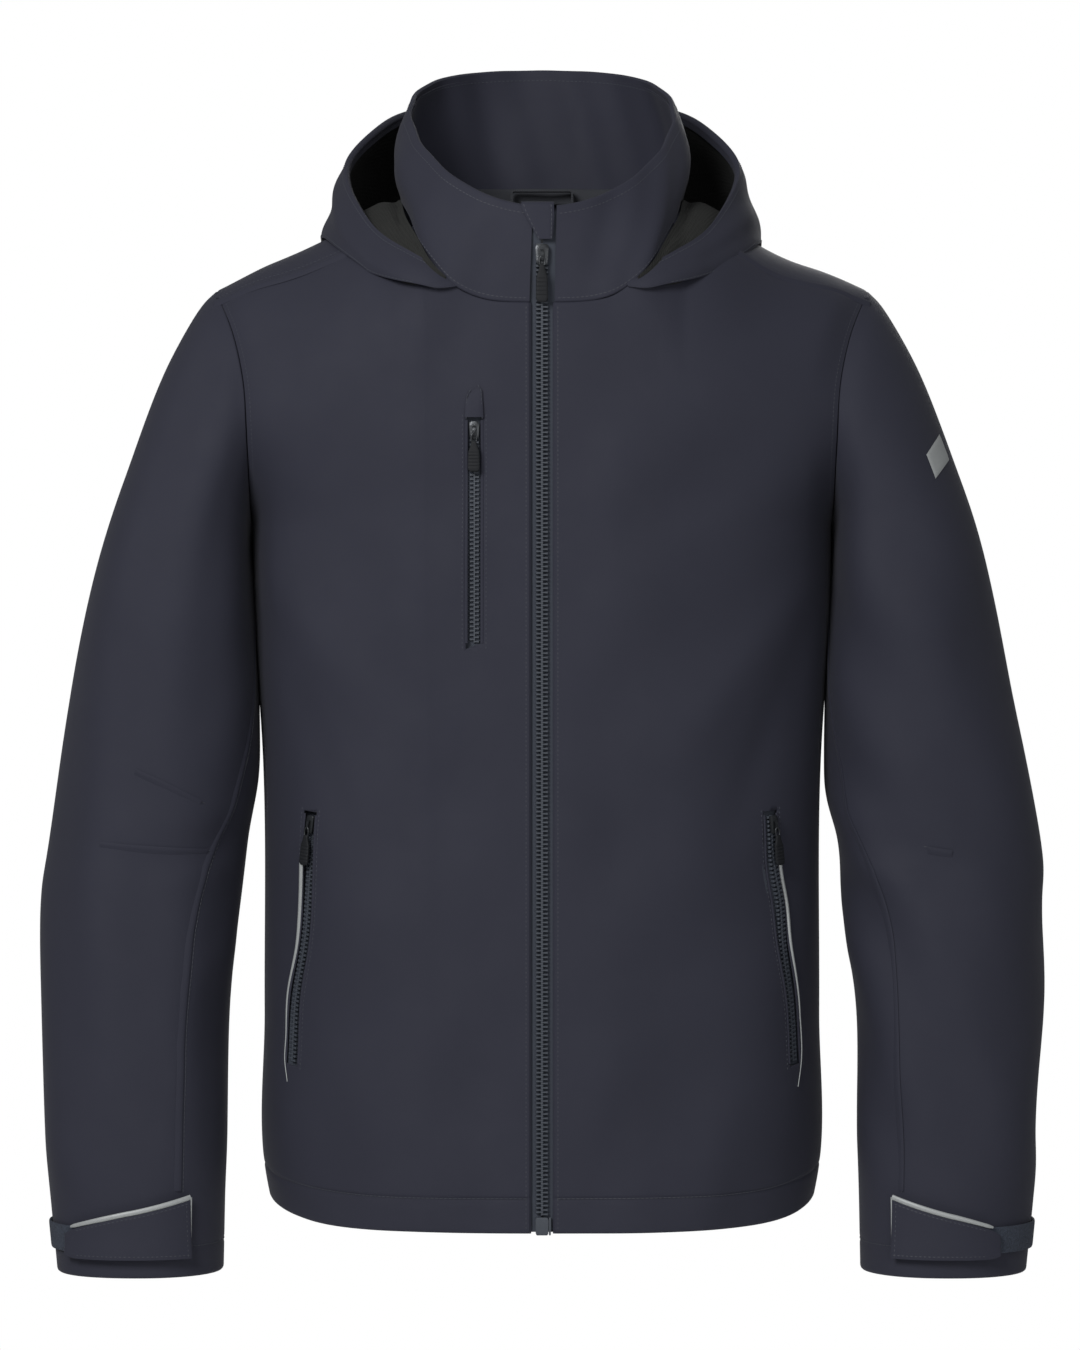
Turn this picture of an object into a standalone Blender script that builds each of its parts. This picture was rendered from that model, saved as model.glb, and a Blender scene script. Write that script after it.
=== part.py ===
"""Foul weather jacket: shell, storm collar, folded hood, jointed sleeves, adjustable cuffs and zips.

Metres, +X to the wearer's left, -Y to the front, +Z up. The garment is drawn about its own middle
(y = 0 at the side seams) and every point is then shifted so that the origin is the underside of
the hanger loop, where a peg carries the jacket.
"""

import math

import bmesh
import bpy
import numpy as np

# Driving dimensions
HEM_Z = -0.744
UNDERARM_Z = -0.2556
COLLAR_FRONT_Z = -0.036
NECK_FRONT_Z = -0.1015
CUFF_Z = -0.785
ELBOW_Z = -0.482
HEM_SIDE_RISE = 0.013
HEM_HALF_WIDTH = 0.1925
BODY_HALF_WIDTH = 0.1992
SHOULDER_HALF_WIDTH = 0.2335
NECK_HALF_WIDTH = 0.1
ARMHOLE_ROOM = 0.057
FRONT_DEPTH_AT_HEM = 0.128
FRONT_DEPTH_AT_COLLAR = 0.1115
BACK_DEPTH = 0.105
LOOP_SEAT = np.array([0.0, 0.0715, -0.004])

# Materials' thicknesses and the clearances between pieces
SHELL = 0.0018
LINING = 0.001
BODY_LINING = 0.0012
LINING_INSET = 0.0085
LINING_ABOVE_HEM = 0.045
LINING_TOP_Z = -0.14
SLEEVE_LINING_INSET = 0.0045
SEAM_GAP = 0.0005
CLEAR = 0.0006

# Zips
ZIP_SLOT = 0.0075
TEETH_HALF = 0.0043
MAIN_ZIP_TOP_Z = -0.0605
CHEST_ZIP = ((0.0469, -0.1834), (0.0469, -0.338))
HAND_ZIP = ((0.161, -0.4573), (0.177, -0.632))
SLOT_HALF = 0.0052
TAPE_HALF = 0.0088
TAPE_THICK = 0.0008
POCKET_TEETH_HALF = 0.0034
CHEST_ZIP_DEPTH = 0.0024
HAND_ZIP_DEPTH = 0.0036

# Panel grids
NECK_COLUMNS = 4
SHOULDER_COLUMNS = 7
BODY_ROWS = 6
ARMHOLE_ROWS = 8
SLEEVE_ROWS = 6
FOREARM_ROWS = 5


def smooth_curve(points, at):
    """The height at `at` of a smooth curve through points (place, height) in rising places."""
    place = np.array([p[0] for p in points], float)
    height = np.array([p[1] for p in points], float)
    slope = np.gradient(height, place)
    at = np.clip(at, place[0], place[-1])
    i = int(np.clip(np.searchsorted(place, at) - 1, 0, len(place) - 2))
    span = place[i + 1] - place[i]
    t = (at - place[i]) / span
    rise = height[i] * (2 * t**3 - 3 * t**2 + 1) + height[i + 1] * (3 * t**2 - 2 * t**3)
    return rise + span * (slope[i] * (t**3 - 2 * t**2 + t) + slope[i + 1] * (t**3 - t**2))


def smoothstep(t):
    t = min(max(t, 0.0), 1.0)
    return t * t * (3 - 2 * t)


def round_off(share, power):
    """1 at share 0, falling to 0 at share 1 as a superellipse does."""
    return max(0.0, 1 - min(max(share, 0.0), 1.0) ** power) ** (1 / power)


# The torso's surface ---------------------------------------------------------------------------

SIDE_LINE = (
    (HEM_Z, HEM_HALF_WIDTH),
    (-0.715, 0.1985),
    (-0.6, BODY_HALF_WIDTH),
    (-0.42, 0.1998),
    (UNDERARM_Z, 0.2055),
    (-0.2, 0.2062),
    (-0.147, 0.211),
    (-0.118, 0.2185),
    (-0.0804, SHOULDER_HALF_WIDTH),
)


def side_x(z):
    """Half the body's width below the underarm, and the armhole seam's line above it."""
    return smooth_curve(SIDE_LINE, z)


def whole_x(z):
    """Half the width that the torso would have if it went on through the armhole."""
    return side_x(z) + ARMHOLE_ROOM * smoothstep((z - UNDERARM_Z) / 0.09)


def ridge_z(x):
    """The height of the shoulder line, which climbs into the neck."""
    neck = 0.12 * max(0.0, 1 - (x / NECK_HALF_WIDTH) ** 2) ** 1.5
    return 0.0247 - 0.45 * abs(x) + neck


def front_depth(z):
    share = (z - HEM_Z) / (COLLAR_FRONT_Z - HEM_Z)
    return FRONT_DEPTH_AT_HEM + (FRONT_DEPTH_AT_COLLAR - FRONT_DEPTH_AT_HEM) * share


def back_depth(z):
    return smooth_curve(((HEM_Z, BACK_DEPTH), (-0.5, 0.1), (-0.22, 0.112), (0.0, 0.09)), z)


def torso_y(x, z, back):
    """How far forward (or back) of the side seams the torso's surface is."""
    depth, fall = (back_depth(z), 0.2) if back else (-front_depth(z), 0.15)
    top = ridge_z(x)
    around = round_off(abs(x) / whole_x(z), 2.4)
    return depth * around * round_off((z - top + fall) / fall, 2.2)


def neckline_z(x, back):
    side = ridge_z(NECK_HALF_WIDTH)
    share = min(abs(x) / NECK_HALF_WIDTH, 1.0)
    if back:
        return side + 0.01 * math.sqrt(1 - share**2)
    return side - (side - NECK_FRONT_Z) * (1 - share**3)


def torso_columns():
    """Places across a panel, from its middle (0) to its side (1), close together at the side."""
    neck_share = NECK_HALF_WIDTH / SHOULDER_HALF_WIDTH
    neck = [neck_share * math.sin(math.pi / 2 * i / NECK_COLUMNS) for i in range(NECK_COLUMNS)]
    arch = [math.sin(math.pi / 2 * i / SHOULDER_COLUMNS) for i in range(SHOULDER_COLUMNS + 1)]
    return neck + [neck_share + (1 - neck_share) * a for a in arch]


def torso_rows(low, high, count, ends):
    """Heights of the side seam from low to high. ends is 1 to crowd both ends, 0 for even rows."""
    even = [i / count for i in range(count + 1)]
    return [low + (high - low) * (ends * (1 - math.cos(math.pi * e)) / 2 + (1 - ends) * e) for e in even]


def torso_grid(side_rows, back, start, inset=0.0):
    """Points over one half of a panel, a row for each height of its side edge."""
    tip_z = SIDE_LINE[-1][0]
    hem_side = HEM_Z + HEM_SIDE_RISE
    grid = []
    for side_z in side_rows:
        climb = (side_z - hem_side) / (tip_z - hem_side)
        row = []
        for across in torso_columns():
            top_x = start + across * (SHOULDER_HALF_WIDTH - start)
            top_z = neckline_z(top_x, back) if top_x < NECK_HALF_WIDTH else ridge_z(top_x)
            low_z = HEM_Z + HEM_SIDE_RISE * across**4
            z = low_z + (top_z - low_z) * climb
            x = start + across * (side_x(side_z) - start)
            row.append((x, torso_y(x, z, back), z))
        grid.append(row)
    grid = np.array(grid)
    return grid + inset * inward(grid)


def inward(grid):
    """Unit normals of a half-torso grid, pointing to the wearer."""
    normal = grid_normals(grid, False)
    facing = np.sign(np.sum(normal * (np.array(TORSO_MIDDLE) - grid), axis=2))
    return normal * facing[:, :, None]


# Turning grids into closed solids --------------------------------------------------------------

NO_PIVOT = (0.0, 0.0, 0.0)
TORSO_MIDDLE = (0.0, 0.0, -0.3)
NECK_MIDDLE = (0.0, -0.01, 0.0)


def grid_normals(grid, closed):
    if closed:
        around = np.roll(grid, -1, axis=1) - np.roll(grid, 1, axis=1)
    else:
        around = np.gradient(grid, axis=1)
    normal = np.cross(around, np.gradient(grid, axis=0))
    length = np.linalg.norm(normal, axis=2, keepdims=True)
    return normal / np.maximum(length, 1e-12)


def trimmed(grid, sides=(1, 1, 1, 1)):
    """The grid with its first row, last row, first column and last column drawn in by a seam gap."""
    grid = grid.copy()
    edges = ((0, 1, 0), (-1, -2, 0), (0, 1, 1), (-1, -2, 1))
    for cut, (edge, inner, axis) in zip(sides, edges):
        lines = grid if axis == 0 else grid.transpose(1, 0, 2)
        step = lines[inner] - lines[edge]
        length = np.maximum(np.linalg.norm(step, axis=1, keepdims=True), 1e-9)
        lines[edge] += step * np.minimum(cut * SEAM_GAP / length, 0.9)
    return grid


def solid_from_grids(name, outer, inner, material, closed=False, pivot=NO_PIVOT):
    """One closed body between two grids of the same shape."""
    rows, columns = outer.shape[:2]
    points = np.concatenate([outer.reshape(-1, 3), inner.reshape(-1, 3)])
    below = rows * columns
    faces = []
    spans = columns if closed else columns - 1
    for r in range(rows - 1):
        for c in range(spans):
            d = (c + 1) % columns
            quad = [r * columns + c, r * columns + d, (r + 1) * columns + d, (r + 1) * columns + c]
            faces.append(quad)
            faces.append([i + below for i in reversed(quad)])
    for r in (0, rows - 1):
        for c in range(spans):
            a, b = r * columns + c, r * columns + (c + 1) % columns
            faces.append([a, b, b + below, a + below])
    if not closed:
        for c in (0, columns - 1):
            for r in range(rows - 1):
                a, b = r * columns + c, (r + 1) * columns + c
                faces.append([a, b, b + below, a + below])
    return solid(name, points, faces, material, pivot)


def solid(name, points, faces, material, pivot=NO_PIVOT):
    """An object with its origin at pivot, from points and faces in garment coordinates."""
    pivot = np.array(pivot, float)
    mesh = bpy.data.meshes.new(name)
    mesh.from_pydata([tuple(p) for p in np.array(points, float) - pivot], [], faces)
    work = bmesh.new()
    work.from_mesh(mesh)
    bmesh.ops.recalc_face_normals(work, faces=work.faces)
    if work.calc_volume(signed=True) < 0:
        bmesh.ops.reverse_faces(work, faces=work.faces)
    work.to_mesh(mesh)
    work.free()
    mesh.shade_smooth()
    mesh.set_sharp_from_angle(angle=math.radians(50))
    mesh.materials.append(material)
    obj = bpy.data.objects.new(name, mesh)
    obj.location = tuple(pivot - LOOP_SEAT)
    bpy.context.scene.collection.objects.link(obj)
    return obj


def thick(name, grid, thickness, material, toward, pivot=NO_PIVOT):
    """A sheet of the given thickness whose outer face is the grid. It thickens toward a point."""
    normal = grid_normals(grid, False)
    facing = np.sign(np.sum(normal * (np.array(toward) - grid), axis=2).sum())
    return solid_from_grids(name, grid, grid + normal * facing * thickness, material, pivot=pivot)


def mirrored(grid):
    return grid * np.array([-1.0, 1.0, 1.0])


def material(name, colour, roughness, metallic=0.0):
    made = bpy.data.materials.new(name)
    made.use_nodes = True
    shader = made.node_tree.nodes["Principled BSDF"]
    shader.inputs["Base Color"].default_value = (*colour, 1.0)
    shader.inputs["Roughness"].default_value = roughness
    shader.inputs["Metallic"].default_value = metallic
    made.diffuse_color = (*colour, 1.0)
    return made


def make_materials():
    return {
        "shell": material("shell_fabric", (0.037, 0.041, 0.052), 0.75),
        "lining": material("lining_fabric", (0.018, 0.018, 0.02), 0.8),
        "mesh": material("mesh_lining", (0.026, 0.028, 0.026), 0.85),
        "tape": material("zip_tape", (0.03, 0.034, 0.045), 0.8),
        "teeth": material("zip_teeth", (0.04, 0.05, 0.063), 0.4),
        "slider": material("zip_slider", (0.05, 0.055, 0.062), 0.35),
        "puller": material("zip_puller", (0.012, 0.013, 0.016), 0.5),
        "hook_loop": material("hook_and_loop", (0.026, 0.031, 0.043), 0.9),
        "piping": material("reflective_piping", (0.35, 0.36, 0.36), 0.4),
        "webbing": material("loop_tape", (0.02, 0.022, 0.028), 0.7),
    }


# Straight frames for the zips ------------------------------------------------------------------


class Line:
    """A straight line on the garment: places are (across, out, along) from its start."""

    def __init__(self, start, end, outward):
        self.start = np.array(start, float)
        run = np.array(end, float) - self.start
        self.length = float(np.linalg.norm(run))
        self.along = run / self.length
        across = np.cross(self.along, np.array(outward, float))
        self.across = across / np.linalg.norm(across)
        self.out = np.cross(self.across, self.along)

    def at(self, across, out, along):
        return self.start + across * self.across + out * self.out + along * self.along


def front_line(places, side):
    """The line of a pocket zip on the front, on the wearer's left (side 1) or right (side -1)."""
    ends = [(side * x, torso_y(x, z, False), z) for x, z in places]
    x, z = (np.array(places[0]) + np.array(places[1])) / 2
    step = 0.004
    slope_x = (torso_y(x + step, z, False) - torso_y(x - step, z, False)) / (2 * step)
    slope_z = (torso_y(x, z + step, False) - torso_y(x, z - step, False)) / (2 * step)
    return Line(ends[0], ends[1], (side * slope_x, -1.0, slope_z))


def prism(name, line, stations, material, pivot=NO_PIVOT):
    """A bar along a line: each station is (along, half_width or (left, right), out_low, out_high)."""
    points = []
    for along, half, low, high in stations:
        left, right = half if isinstance(half, tuple) else (-half, half)
        points += [line.at(*p, along) for p in ((left, low), (right, low), (right, high), (left, high))]
    last = 4 * (len(stations) - 1)
    faces = [[0, 1, 2, 3], [last, last + 3, last + 2, last + 1]]
    for s in range(0, last, 4):
        faces += [[s + i, s + 4 + i, s + 4 + (i + 1) % 4, s + (i + 1) % 4] for i in range(4)]
    return solid(name, points, faces, material, pivot)


def main_line():
    top, low = MAIN_ZIP_TOP_Z, HEM_Z - 0.001
    return Line((0, -front_depth(top), top), (0, -front_depth(low), low), (0, -1, 0))


# Body panels -----------------------------------------------------------------------------------

YOKE_SEAM_Z = -0.135


def front_rows():
    hem_side = HEM_Z + HEM_SIDE_RISE
    low = torso_rows(hem_side, UNDERARM_Z, BODY_ROWS, 0)
    return low[:-1] + torso_rows(UNDERARM_Z, SIDE_LINE[-1][0], ARMHOLE_ROWS, 1)


def make_body_panels(finish):
    rows = front_rows()
    seam_row = min(range(len(rows)), key=lambda i: abs(rows[i] - YOKE_SEAM_Z))
    front = trimmed(torso_grid(rows, False, ZIP_SLOT), (0, 1, 0, 1))
    panels = {
        "left": thick("front_panel_left", front, SHELL, finish["shell"], TORSO_MIDDLE),
        "right": thick("front_panel_right", mirrored(front), SHELL, finish["shell"], TORSO_MIDDLE),
    }
    back = torso_grid(rows, True, 0.0)
    back = np.concatenate([mirrored(back)[:, :0:-1], back], axis=1)
    lower, upper = back[: seam_row + 1], back[seam_row:]
    thick("back_panel", trimmed(lower, (0, 1, 1, 1)), SHELL, finish["shell"], TORSO_MIDDLE)
    thick("back_yoke", trimmed(upper), SHELL, finish["shell"], TORSO_MIDDLE)
    return panels


def make_body_linings(finish):
    """Lining inside the two fronts and the back, clear of the hem, the zip and the neck."""
    low, high = HEM_Z + LINING_ABOVE_HEM, LINING_TOP_Z
    front_rows = torso_rows(low, UNDERARM_Z, 3, 0)[:-1] + torso_rows(UNDERARM_Z, high, 3, 0)
    back_rows = torso_rows(low, UNDERARM_Z, 4, 0)[:-1] + torso_rows(UNDERARM_Z, high, 4, 0)
    front = torso_grid(front_rows, False, 0.036, LINING_INSET)[:, :-2]
    back = torso_grid(back_rows, True, 0.0, LINING_INSET)[:, :-2]
    back = np.concatenate([mirrored(back)[:, :0:-1], back], axis=1)
    thick("lining_front_left", front, BODY_LINING, finish["lining"], TORSO_MIDDLE)
    thick("lining_front_right", mirrored(front), BODY_LINING, finish["lining"], TORSO_MIDDLE)
    thick("lining_back", back, BODY_LINING, finish["lining"], TORSO_MIDDLE)


# Collar and hood -------------------------------------------------------------------------------

COLLAR_GAP_ANGLE = math.asin((ZIP_SLOT + 0.0012) / NECK_HALF_WIDTH)
RIM_HALF_WIDTH = 0.0965
RIM_BACK_Y = 0.085
COLLAR_BULGE = 0.008
COLLAR_LIFT = 0.003


def collar_point(angle, climb):
    """angle is 0 at the zip and pi at the back; climb is 0 at the neck seam and 1 at the rim."""
    back = abs(angle) > math.pi / 2
    x = NECK_HALF_WIDTH * math.sin(angle)
    z = neckline_z(x, back)
    base = np.array([x, torso_y(x, z, back), z + COLLAR_LIFT])
    reach = (RIM_BACK_Y + FRONT_DEPTH_AT_COLLAR) / 2
    rim_z = 0.035 - 0.062 * math.cos(angle) - 0.009 * math.cos(2 * angle)
    rim_y = (RIM_BACK_Y - FRONT_DEPTH_AT_COLLAR) / 2 - reach * math.cos(angle)
    rim = np.array([RIM_HALF_WIDTH * math.sin(angle) + ZIP_SLOT * 0.25 * math.cos(angle), rim_y, rim_z])
    outward = np.array([math.sin(angle), -math.cos(angle), 0.0])
    swell = COLLAR_BULGE * 4 * climb * (1 - climb) * math.sin(angle) ** 2
    return base + (rim - base) * climb + outward * swell


def collar_angles(start):
    quarter = [math.pi / 2 * i / 6 for i in range(1, 7)]
    half = [start] + quarter + [math.pi - a for a in reversed(quarter[:-1])] + [math.pi]
    return [-a for a in half] + [a for a in reversed(half[:-1])]


def collar_grid(start, low, high, inset, rows=4):
    grid = []
    for i in range(rows + 1):
        row = []
        for angle in collar_angles(start):
            point = collar_point(angle, low + (high - low) * i / rows)
            radial = np.array([-math.sin(angle), math.cos(angle), 0.0])
            row.append(point + inset * radial)
        grid.append(row)
    return np.array(grid)


def make_collar(finish):
    outer = collar_grid(COLLAR_GAP_ANGLE, 0.0, 1.0, 0.0)
    thick("collar_outer", outer, SHELL, finish["shell"], NECK_MIDDLE)
    inner = collar_grid(0.32, 0.1, 0.97, SHELL + 0.0036)
    thick("collar_lining", inner, LINING, finish["lining"], NECK_MIDDLE)


HOOD_TIP = math.radians(28)
HOOD_FOOT = (
    (28, 0.132, -0.083),
    (36, 0.139, -0.078),
    (53, 0.147, -0.064),
    (72, 0.152, -0.05),
    (90, 0.1585, -0.0415),
    (112, 0.163, -0.068),
    (135, 0.167, -0.096),
    (180, 0.166, -0.13),
)
HOOD_RIM = (
    (28, 0.1295, -0.08),
    (42, 0.132, -0.06),
    (69, 0.139, -0.024),
    (90, 0.143, 0.006),
    (112, 0.136, 0.037),
    (134, 0.135, 0.052),
    (180, 0.13, 0.056),
)
HOOD_ROWS = 5


def hood_profile(degrees, share):
    """A point on the folded hood's outer wall: share 0 is its foot, 1 the rim of its opening."""
    foot_r = smooth_curve([(a, r) for a, r, _ in HOOD_FOOT], degrees)
    foot_z = smooth_curve([(a, z) for a, _, z in HOOD_FOOT], degrees)
    rim_r = smooth_curve([(a, r) for a, r, _ in HOOD_RIM], degrees)
    rim_z = smooth_curve([(a, z) for a, _, z in HOOD_RIM], degrees)
    grown = smoothstep((degrees - 28) / 60)
    swell = 0.012 * grown * math.sin(math.pi * share) ** 0.8
    return foot_r + (rim_r - foot_r) * share**1.4 + swell, foot_z + (rim_z - foot_z) * share


def hood_grid(low, high, inset, first=28.0):
    degrees = [first + (180 - first) * i / 12 for i in range(13)]
    around = [-d for d in degrees] + [d for d in reversed(degrees[:-1])]
    grid = []
    for i in range(HOOD_ROWS + 1):
        row = []
        for angle in around:
            r, z = hood_profile(abs(angle), low + (high - low) * i / HOOD_ROWS)
            a = math.radians(angle)
            row.append(((r - inset) * math.sin(a), -(r - inset) * math.cos(a), z))
        grid.append(row)
    return np.array(grid)


def hood_hinge():
    r, z = hood_profile(28, 0.5)
    return np.array([0.0, -r * math.cos(HOOD_TIP), z])


def make_hood(finish):
    """The wall of the folded hood, and the mesh inside it, which both swing about the hood's tips."""
    pivot = hood_hinge()
    thick("hood_shell", hood_grid(0, 1, 0), SHELL, finish["shell"], NECK_MIDDLE, pivot)
    inside = hood_grid(0.2, 0.92, 0.0075, 44.0)
    thick("hood_lining", inside, LINING, finish["mesh"], NECK_MIDDLE, pivot)


def make_chin_guard(finish):
    """A small folded flap that covers the top of the zip and turns over the collar's edge."""
    top = COLLAR_FRONT_Z + 0.001
    line = Line((0, -front_depth(top), top), (0, -front_depth(-0.058), -0.058), (0, -1, 0))
    stations = [
        (0.0, (-0.008, 0.0135), CLEAR, 0.0026),
        (0.006, (-0.0082, 0.0115), CLEAR, 0.0028),
        (line.length, (-0.0072, 0.0028), CLEAR, 0.0024),
    ]
    return prism("chin_guard", line, stations, finish["shell"])


def make_hanger_loop(finish):
    """A tape whose two ends are sewn at the back neck seam. Its flat underside carries the jacket."""
    half, foot, wide, thin = 0.023, 0.0125, 0.0035, 0.0015
    outline = [
        (-half, -foot),
        (-half, thin),
        (half, thin),
        (half, -foot),
        (half - thin, -foot),
        (half - thin, 0.0),
        (-half + thin, 0.0),
        (-half + thin, -foot),
    ]
    points = [LOOP_SEAT + np.array([x, y, z]) for y in (-wide, wide) for x, z in outline]
    n = len(outline)
    faces = [[0, 1, 6, 7], [1, 2, 5, 6], [2, 3, 4, 5]]
    faces += [[i + n for i in reversed(f)] for f in faces]
    faces += [[i, (i + 1) % n, (i + 1) % n + n, i + n] for i in range(n)]
    return solid("hanger_loop", points, faces, finish["webbing"])


# Sleeves ---------------------------------------------------------------------------------------

SLEEVE_OUTER = (
    (0.0, 0.2337, -0.0802),
    (0.06, 0.2435, -0.0925),
    (0.16, 0.2665, -0.133),
    (0.35, 0.3006, -0.2196),
    (0.58, 0.3275, -0.31),
    (0.8, 0.3455, -0.4),
    (1.0, 0.3553, ELBOW_Z),
    (1.2, 0.3586, -0.522),
    (1.45, 0.3596, -0.6),
    (1.7, 0.356, -0.69),
    (2.0, 0.3485, CUFF_Z),
)
SLEEVE_INNER = (
    (0.0, 0.2062, UNDERARM_Z),
    (0.06, 0.2085, -0.266),
    (0.16, 0.2095, -0.285),
    (0.35, 0.2082, -0.33),
    (0.58, 0.2045, -0.385),
    (0.8, 0.2045, -0.436),
    (1.0, 0.2113, ELBOW_Z + 0.003),
    (1.2, 0.2171, -0.522),
    (1.45, 0.226, -0.6),
    (1.7, 0.2284, -0.69),
    (2.0, 0.2304, CUFF_Z),
)
SLEEVE_DEPTH = ((0.0, 0.08), (0.35, 0.077), (0.7, 0.072), (1.0, 0.068), (1.5, 0.062), (2.0, 0.053))
SLEEVE_FORWARD = ((0.0, -0.002), (0.5, -0.006), (1.0, -0.018), (1.5, -0.032), (2.0, -0.042))


def armhole_ring():
    """The armhole seam's points, from the shoulder down the front to the underarm and up the back."""
    rows = torso_rows(UNDERARM_Z, SIDE_LINE[-1][0], ARMHOLE_ROWS, 1)
    front = [np.array([side_x(z), torso_y(side_x(z), z, False), z]) for z in reversed(rows)]
    back = [np.array([side_x(z), torso_y(side_x(z), z, True), z]) for z in rows]
    return np.array(front + back[1:-1])


def sleeve_section(t, angle):
    """t runs 0 at the armhole, 1 at the elbow, 2 at the cuff; angle is 0 outside, 90 in front."""
    outer = np.array([smooth_curve([(p[0], p[i]) for p in SLEEVE_OUTER], t) for i in (1, 2)])
    inner = np.array([smooth_curve([(p[0], p[i]) for p in SLEEVE_INNER], t) for i in (1, 2)])
    middle, reach = (outer + inner) / 2, (outer - inner) / 2
    c, s = math.cos(angle), math.sin(angle)
    across = math.copysign(abs(c) ** 0.92, c)
    forward = math.copysign(abs(s) ** 0.92, s)
    y = smooth_curve(SLEEVE_FORWARD, t) - smooth_curve(SLEEVE_DEPTH, t) * forward
    x, z = middle + reach * across
    return np.array([x, y, z])


def sleeve_grid(stations, inset=0.0):
    ring = armhole_ring()
    count = len(ring)
    angles = [2 * math.pi * i / count for i in range(count)]
    start = np.array([sleeve_section(0.0, a) for a in angles])
    grid = []
    for t in stations:
        row = np.array([sleeve_section(t, a) for a in angles])
        row += (ring - start) * max(0.0, 1 - t / 0.55) ** 2
        grid.append(row)
    grid = np.array(grid)
    return grid + inset * toward_arm(grid)


def toward_arm(grid):
    """Unit normals of a ring grid, pointing to its middle."""
    normal = grid_normals(grid, True)
    centre = grid.mean(axis=1, keepdims=True)
    return normal * np.sign(np.sum(normal * (centre - grid), axis=2).sum())


def spaced(low, high, count, power=1.0):
    return [low + (high - low) * (i / count) ** power for i in range(count + 1)]


def tube(name, grid, thickness, finish, pivot):
    """A sleeve's wall: a closed ring that thickens towards the arm."""
    inner = grid + thickness * toward_arm(grid)
    return solid_from_grids(name, grid, inner, finish, closed=True, pivot=pivot)


def elbow_hinge(side):
    front = sleeve_section(1.0, math.pi / 2)
    return np.array([side * front[0], front[1] - 0.001, front[2]])


def shoulder_hinge(side):
    return np.array([side * SHOULDER_HALF_WIDTH, 0.0, SIDE_LINE[-1][0]])


def make_sleeve(side, name, finish):
    flip = np.array([side, 1.0, 1.0])
    upper = sleeve_grid(spaced(0.012, 0.994, SLEEVE_ROWS, 1.3)) * flip
    lower = sleeve_grid(spaced(1.002, 2.0, FOREARM_ROWS)) * flip
    shoulder, elbow = shoulder_hinge(side), elbow_hinge(side)
    tube(f"upper_sleeve_{name}", upper, SHELL, finish["shell"], shoulder)
    tube(f"forearm_{name}", lower, SHELL, finish["shell"], elbow)
    inner_upper = sleeve_grid(spaced(0.4, 0.98, 3), SLEEVE_LINING_INSET) * flip
    inner_lower = sleeve_grid(spaced(1.02, 1.93, 3), SLEEVE_LINING_INSET) * flip
    tube(f"upper_sleeve_lining_{name}", inner_upper, LINING, finish["lining"], shoulder)
    tube(f"forearm_lining_{name}", inner_lower, LINING, finish["lining"], elbow)


# Cuffs -----------------------------------------------------------------------------------------

TAB_START = 134
TAB_END = 40
TAB_OUT = 0.004
TAB_THICK = 0.0014
TAB_LOW = 1.955


def tab_top(degrees):
    """How far down the forearm the tab's upper edge is: it slopes to the narrow free end."""
    share = (TAB_START - degrees) / (TAB_START - TAB_END)
    return 1.81 + 0.07 * share


def piping_top(degrees):
    return tab_top(degrees) - 0.011


def piping_low(degrees):
    return tab_top(degrees) - 0.002


def cuff_patch(angles, top, low, out, side, rows=2):
    """A grid of points lying `out` metres proud of the forearm, around its front."""
    grid = []
    for i in range(rows + 1):
        row = []
        for degrees in angles:
            high = top(degrees) if callable(top) else top
            foot = low(degrees) if callable(low) else low
            a = math.radians(degrees)
            t = high + (foot - high) * i / rows
            here = sleeve_section(t, a)
            tangent = sleeve_section(t, a + 0.02) - sleeve_section(t, a - 0.02)
            normal = np.cross(tangent, np.array([0.0, 0.0, 1.0]))
            centre = sleeve_section(t, 0.0) / 2 + sleeve_section(t, math.pi) / 2
            normal *= np.sign(np.dot(normal, here - centre)) / np.linalg.norm(normal)
            row.append((here + out * normal) * np.array([side, 1.0, 1.0]))
        grid.append(row)
    return np.array(grid)


def tab_hinge(side):
    """The top of the cuff tab's sewn edge, which it peels open about."""
    return cuff_patch([TAB_START], tab_top, TAB_LOW, TAB_OUT, side)[0][0]


def make_cuff(side, name, finish):
    def layer(piece, angles, top, low, out, thickness, slot, rows=1):
        below = cuff_patch(angles, top, low, out, side, rows)
        above = cuff_patch(angles, top, low, out + thickness, side, rows)
        pivot = elbow_hinge(side) if piece == "cuff_loop_patch" else tab_hinge(side)
        return solid_from_grids(f"{piece}_{name}", above, below, finish[slot], pivot=pivot)

    tab_angles = [TAB_START + (TAB_END - TAB_START) * i / 8 for i in range(9)]
    hook_angles = [64, 58, 51, 44]
    loop_angles = [66, 52, 38, 24, 10, -6, -22, -38]
    layer("cuff_tab", tab_angles, tab_top, TAB_LOW, TAB_OUT, TAB_THICK, "shell", rows=2)
    layer("cuff_loop_patch", loop_angles, 1.855, 1.95, 0.001, 0.001, "hook_loop")
    layer("cuff_hook_patch", hook_angles, 1.885, 1.945, 0.0024, 0.001, "hook_loop")
    layer("cuff_piping", tab_angles, piping_top, piping_low, TAB_OUT, 0.0016, "piping")


# Zips ------------------------------------------------------------------------------------------


def make_teeth(name, line, side, length, start, finish):
    """One side's row of moulded teeth, drawn as its solid bar beside the middle of the zip."""
    inner, outer = sorted((side * 0.0002, side * TEETH_HALF))
    stations = [(start, (inner, outer), -0.0028, 0.0003), (length, (inner, outer), -0.0028, 0.0003)]
    return prism(name, line, stations, finish["teeth"])


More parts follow.
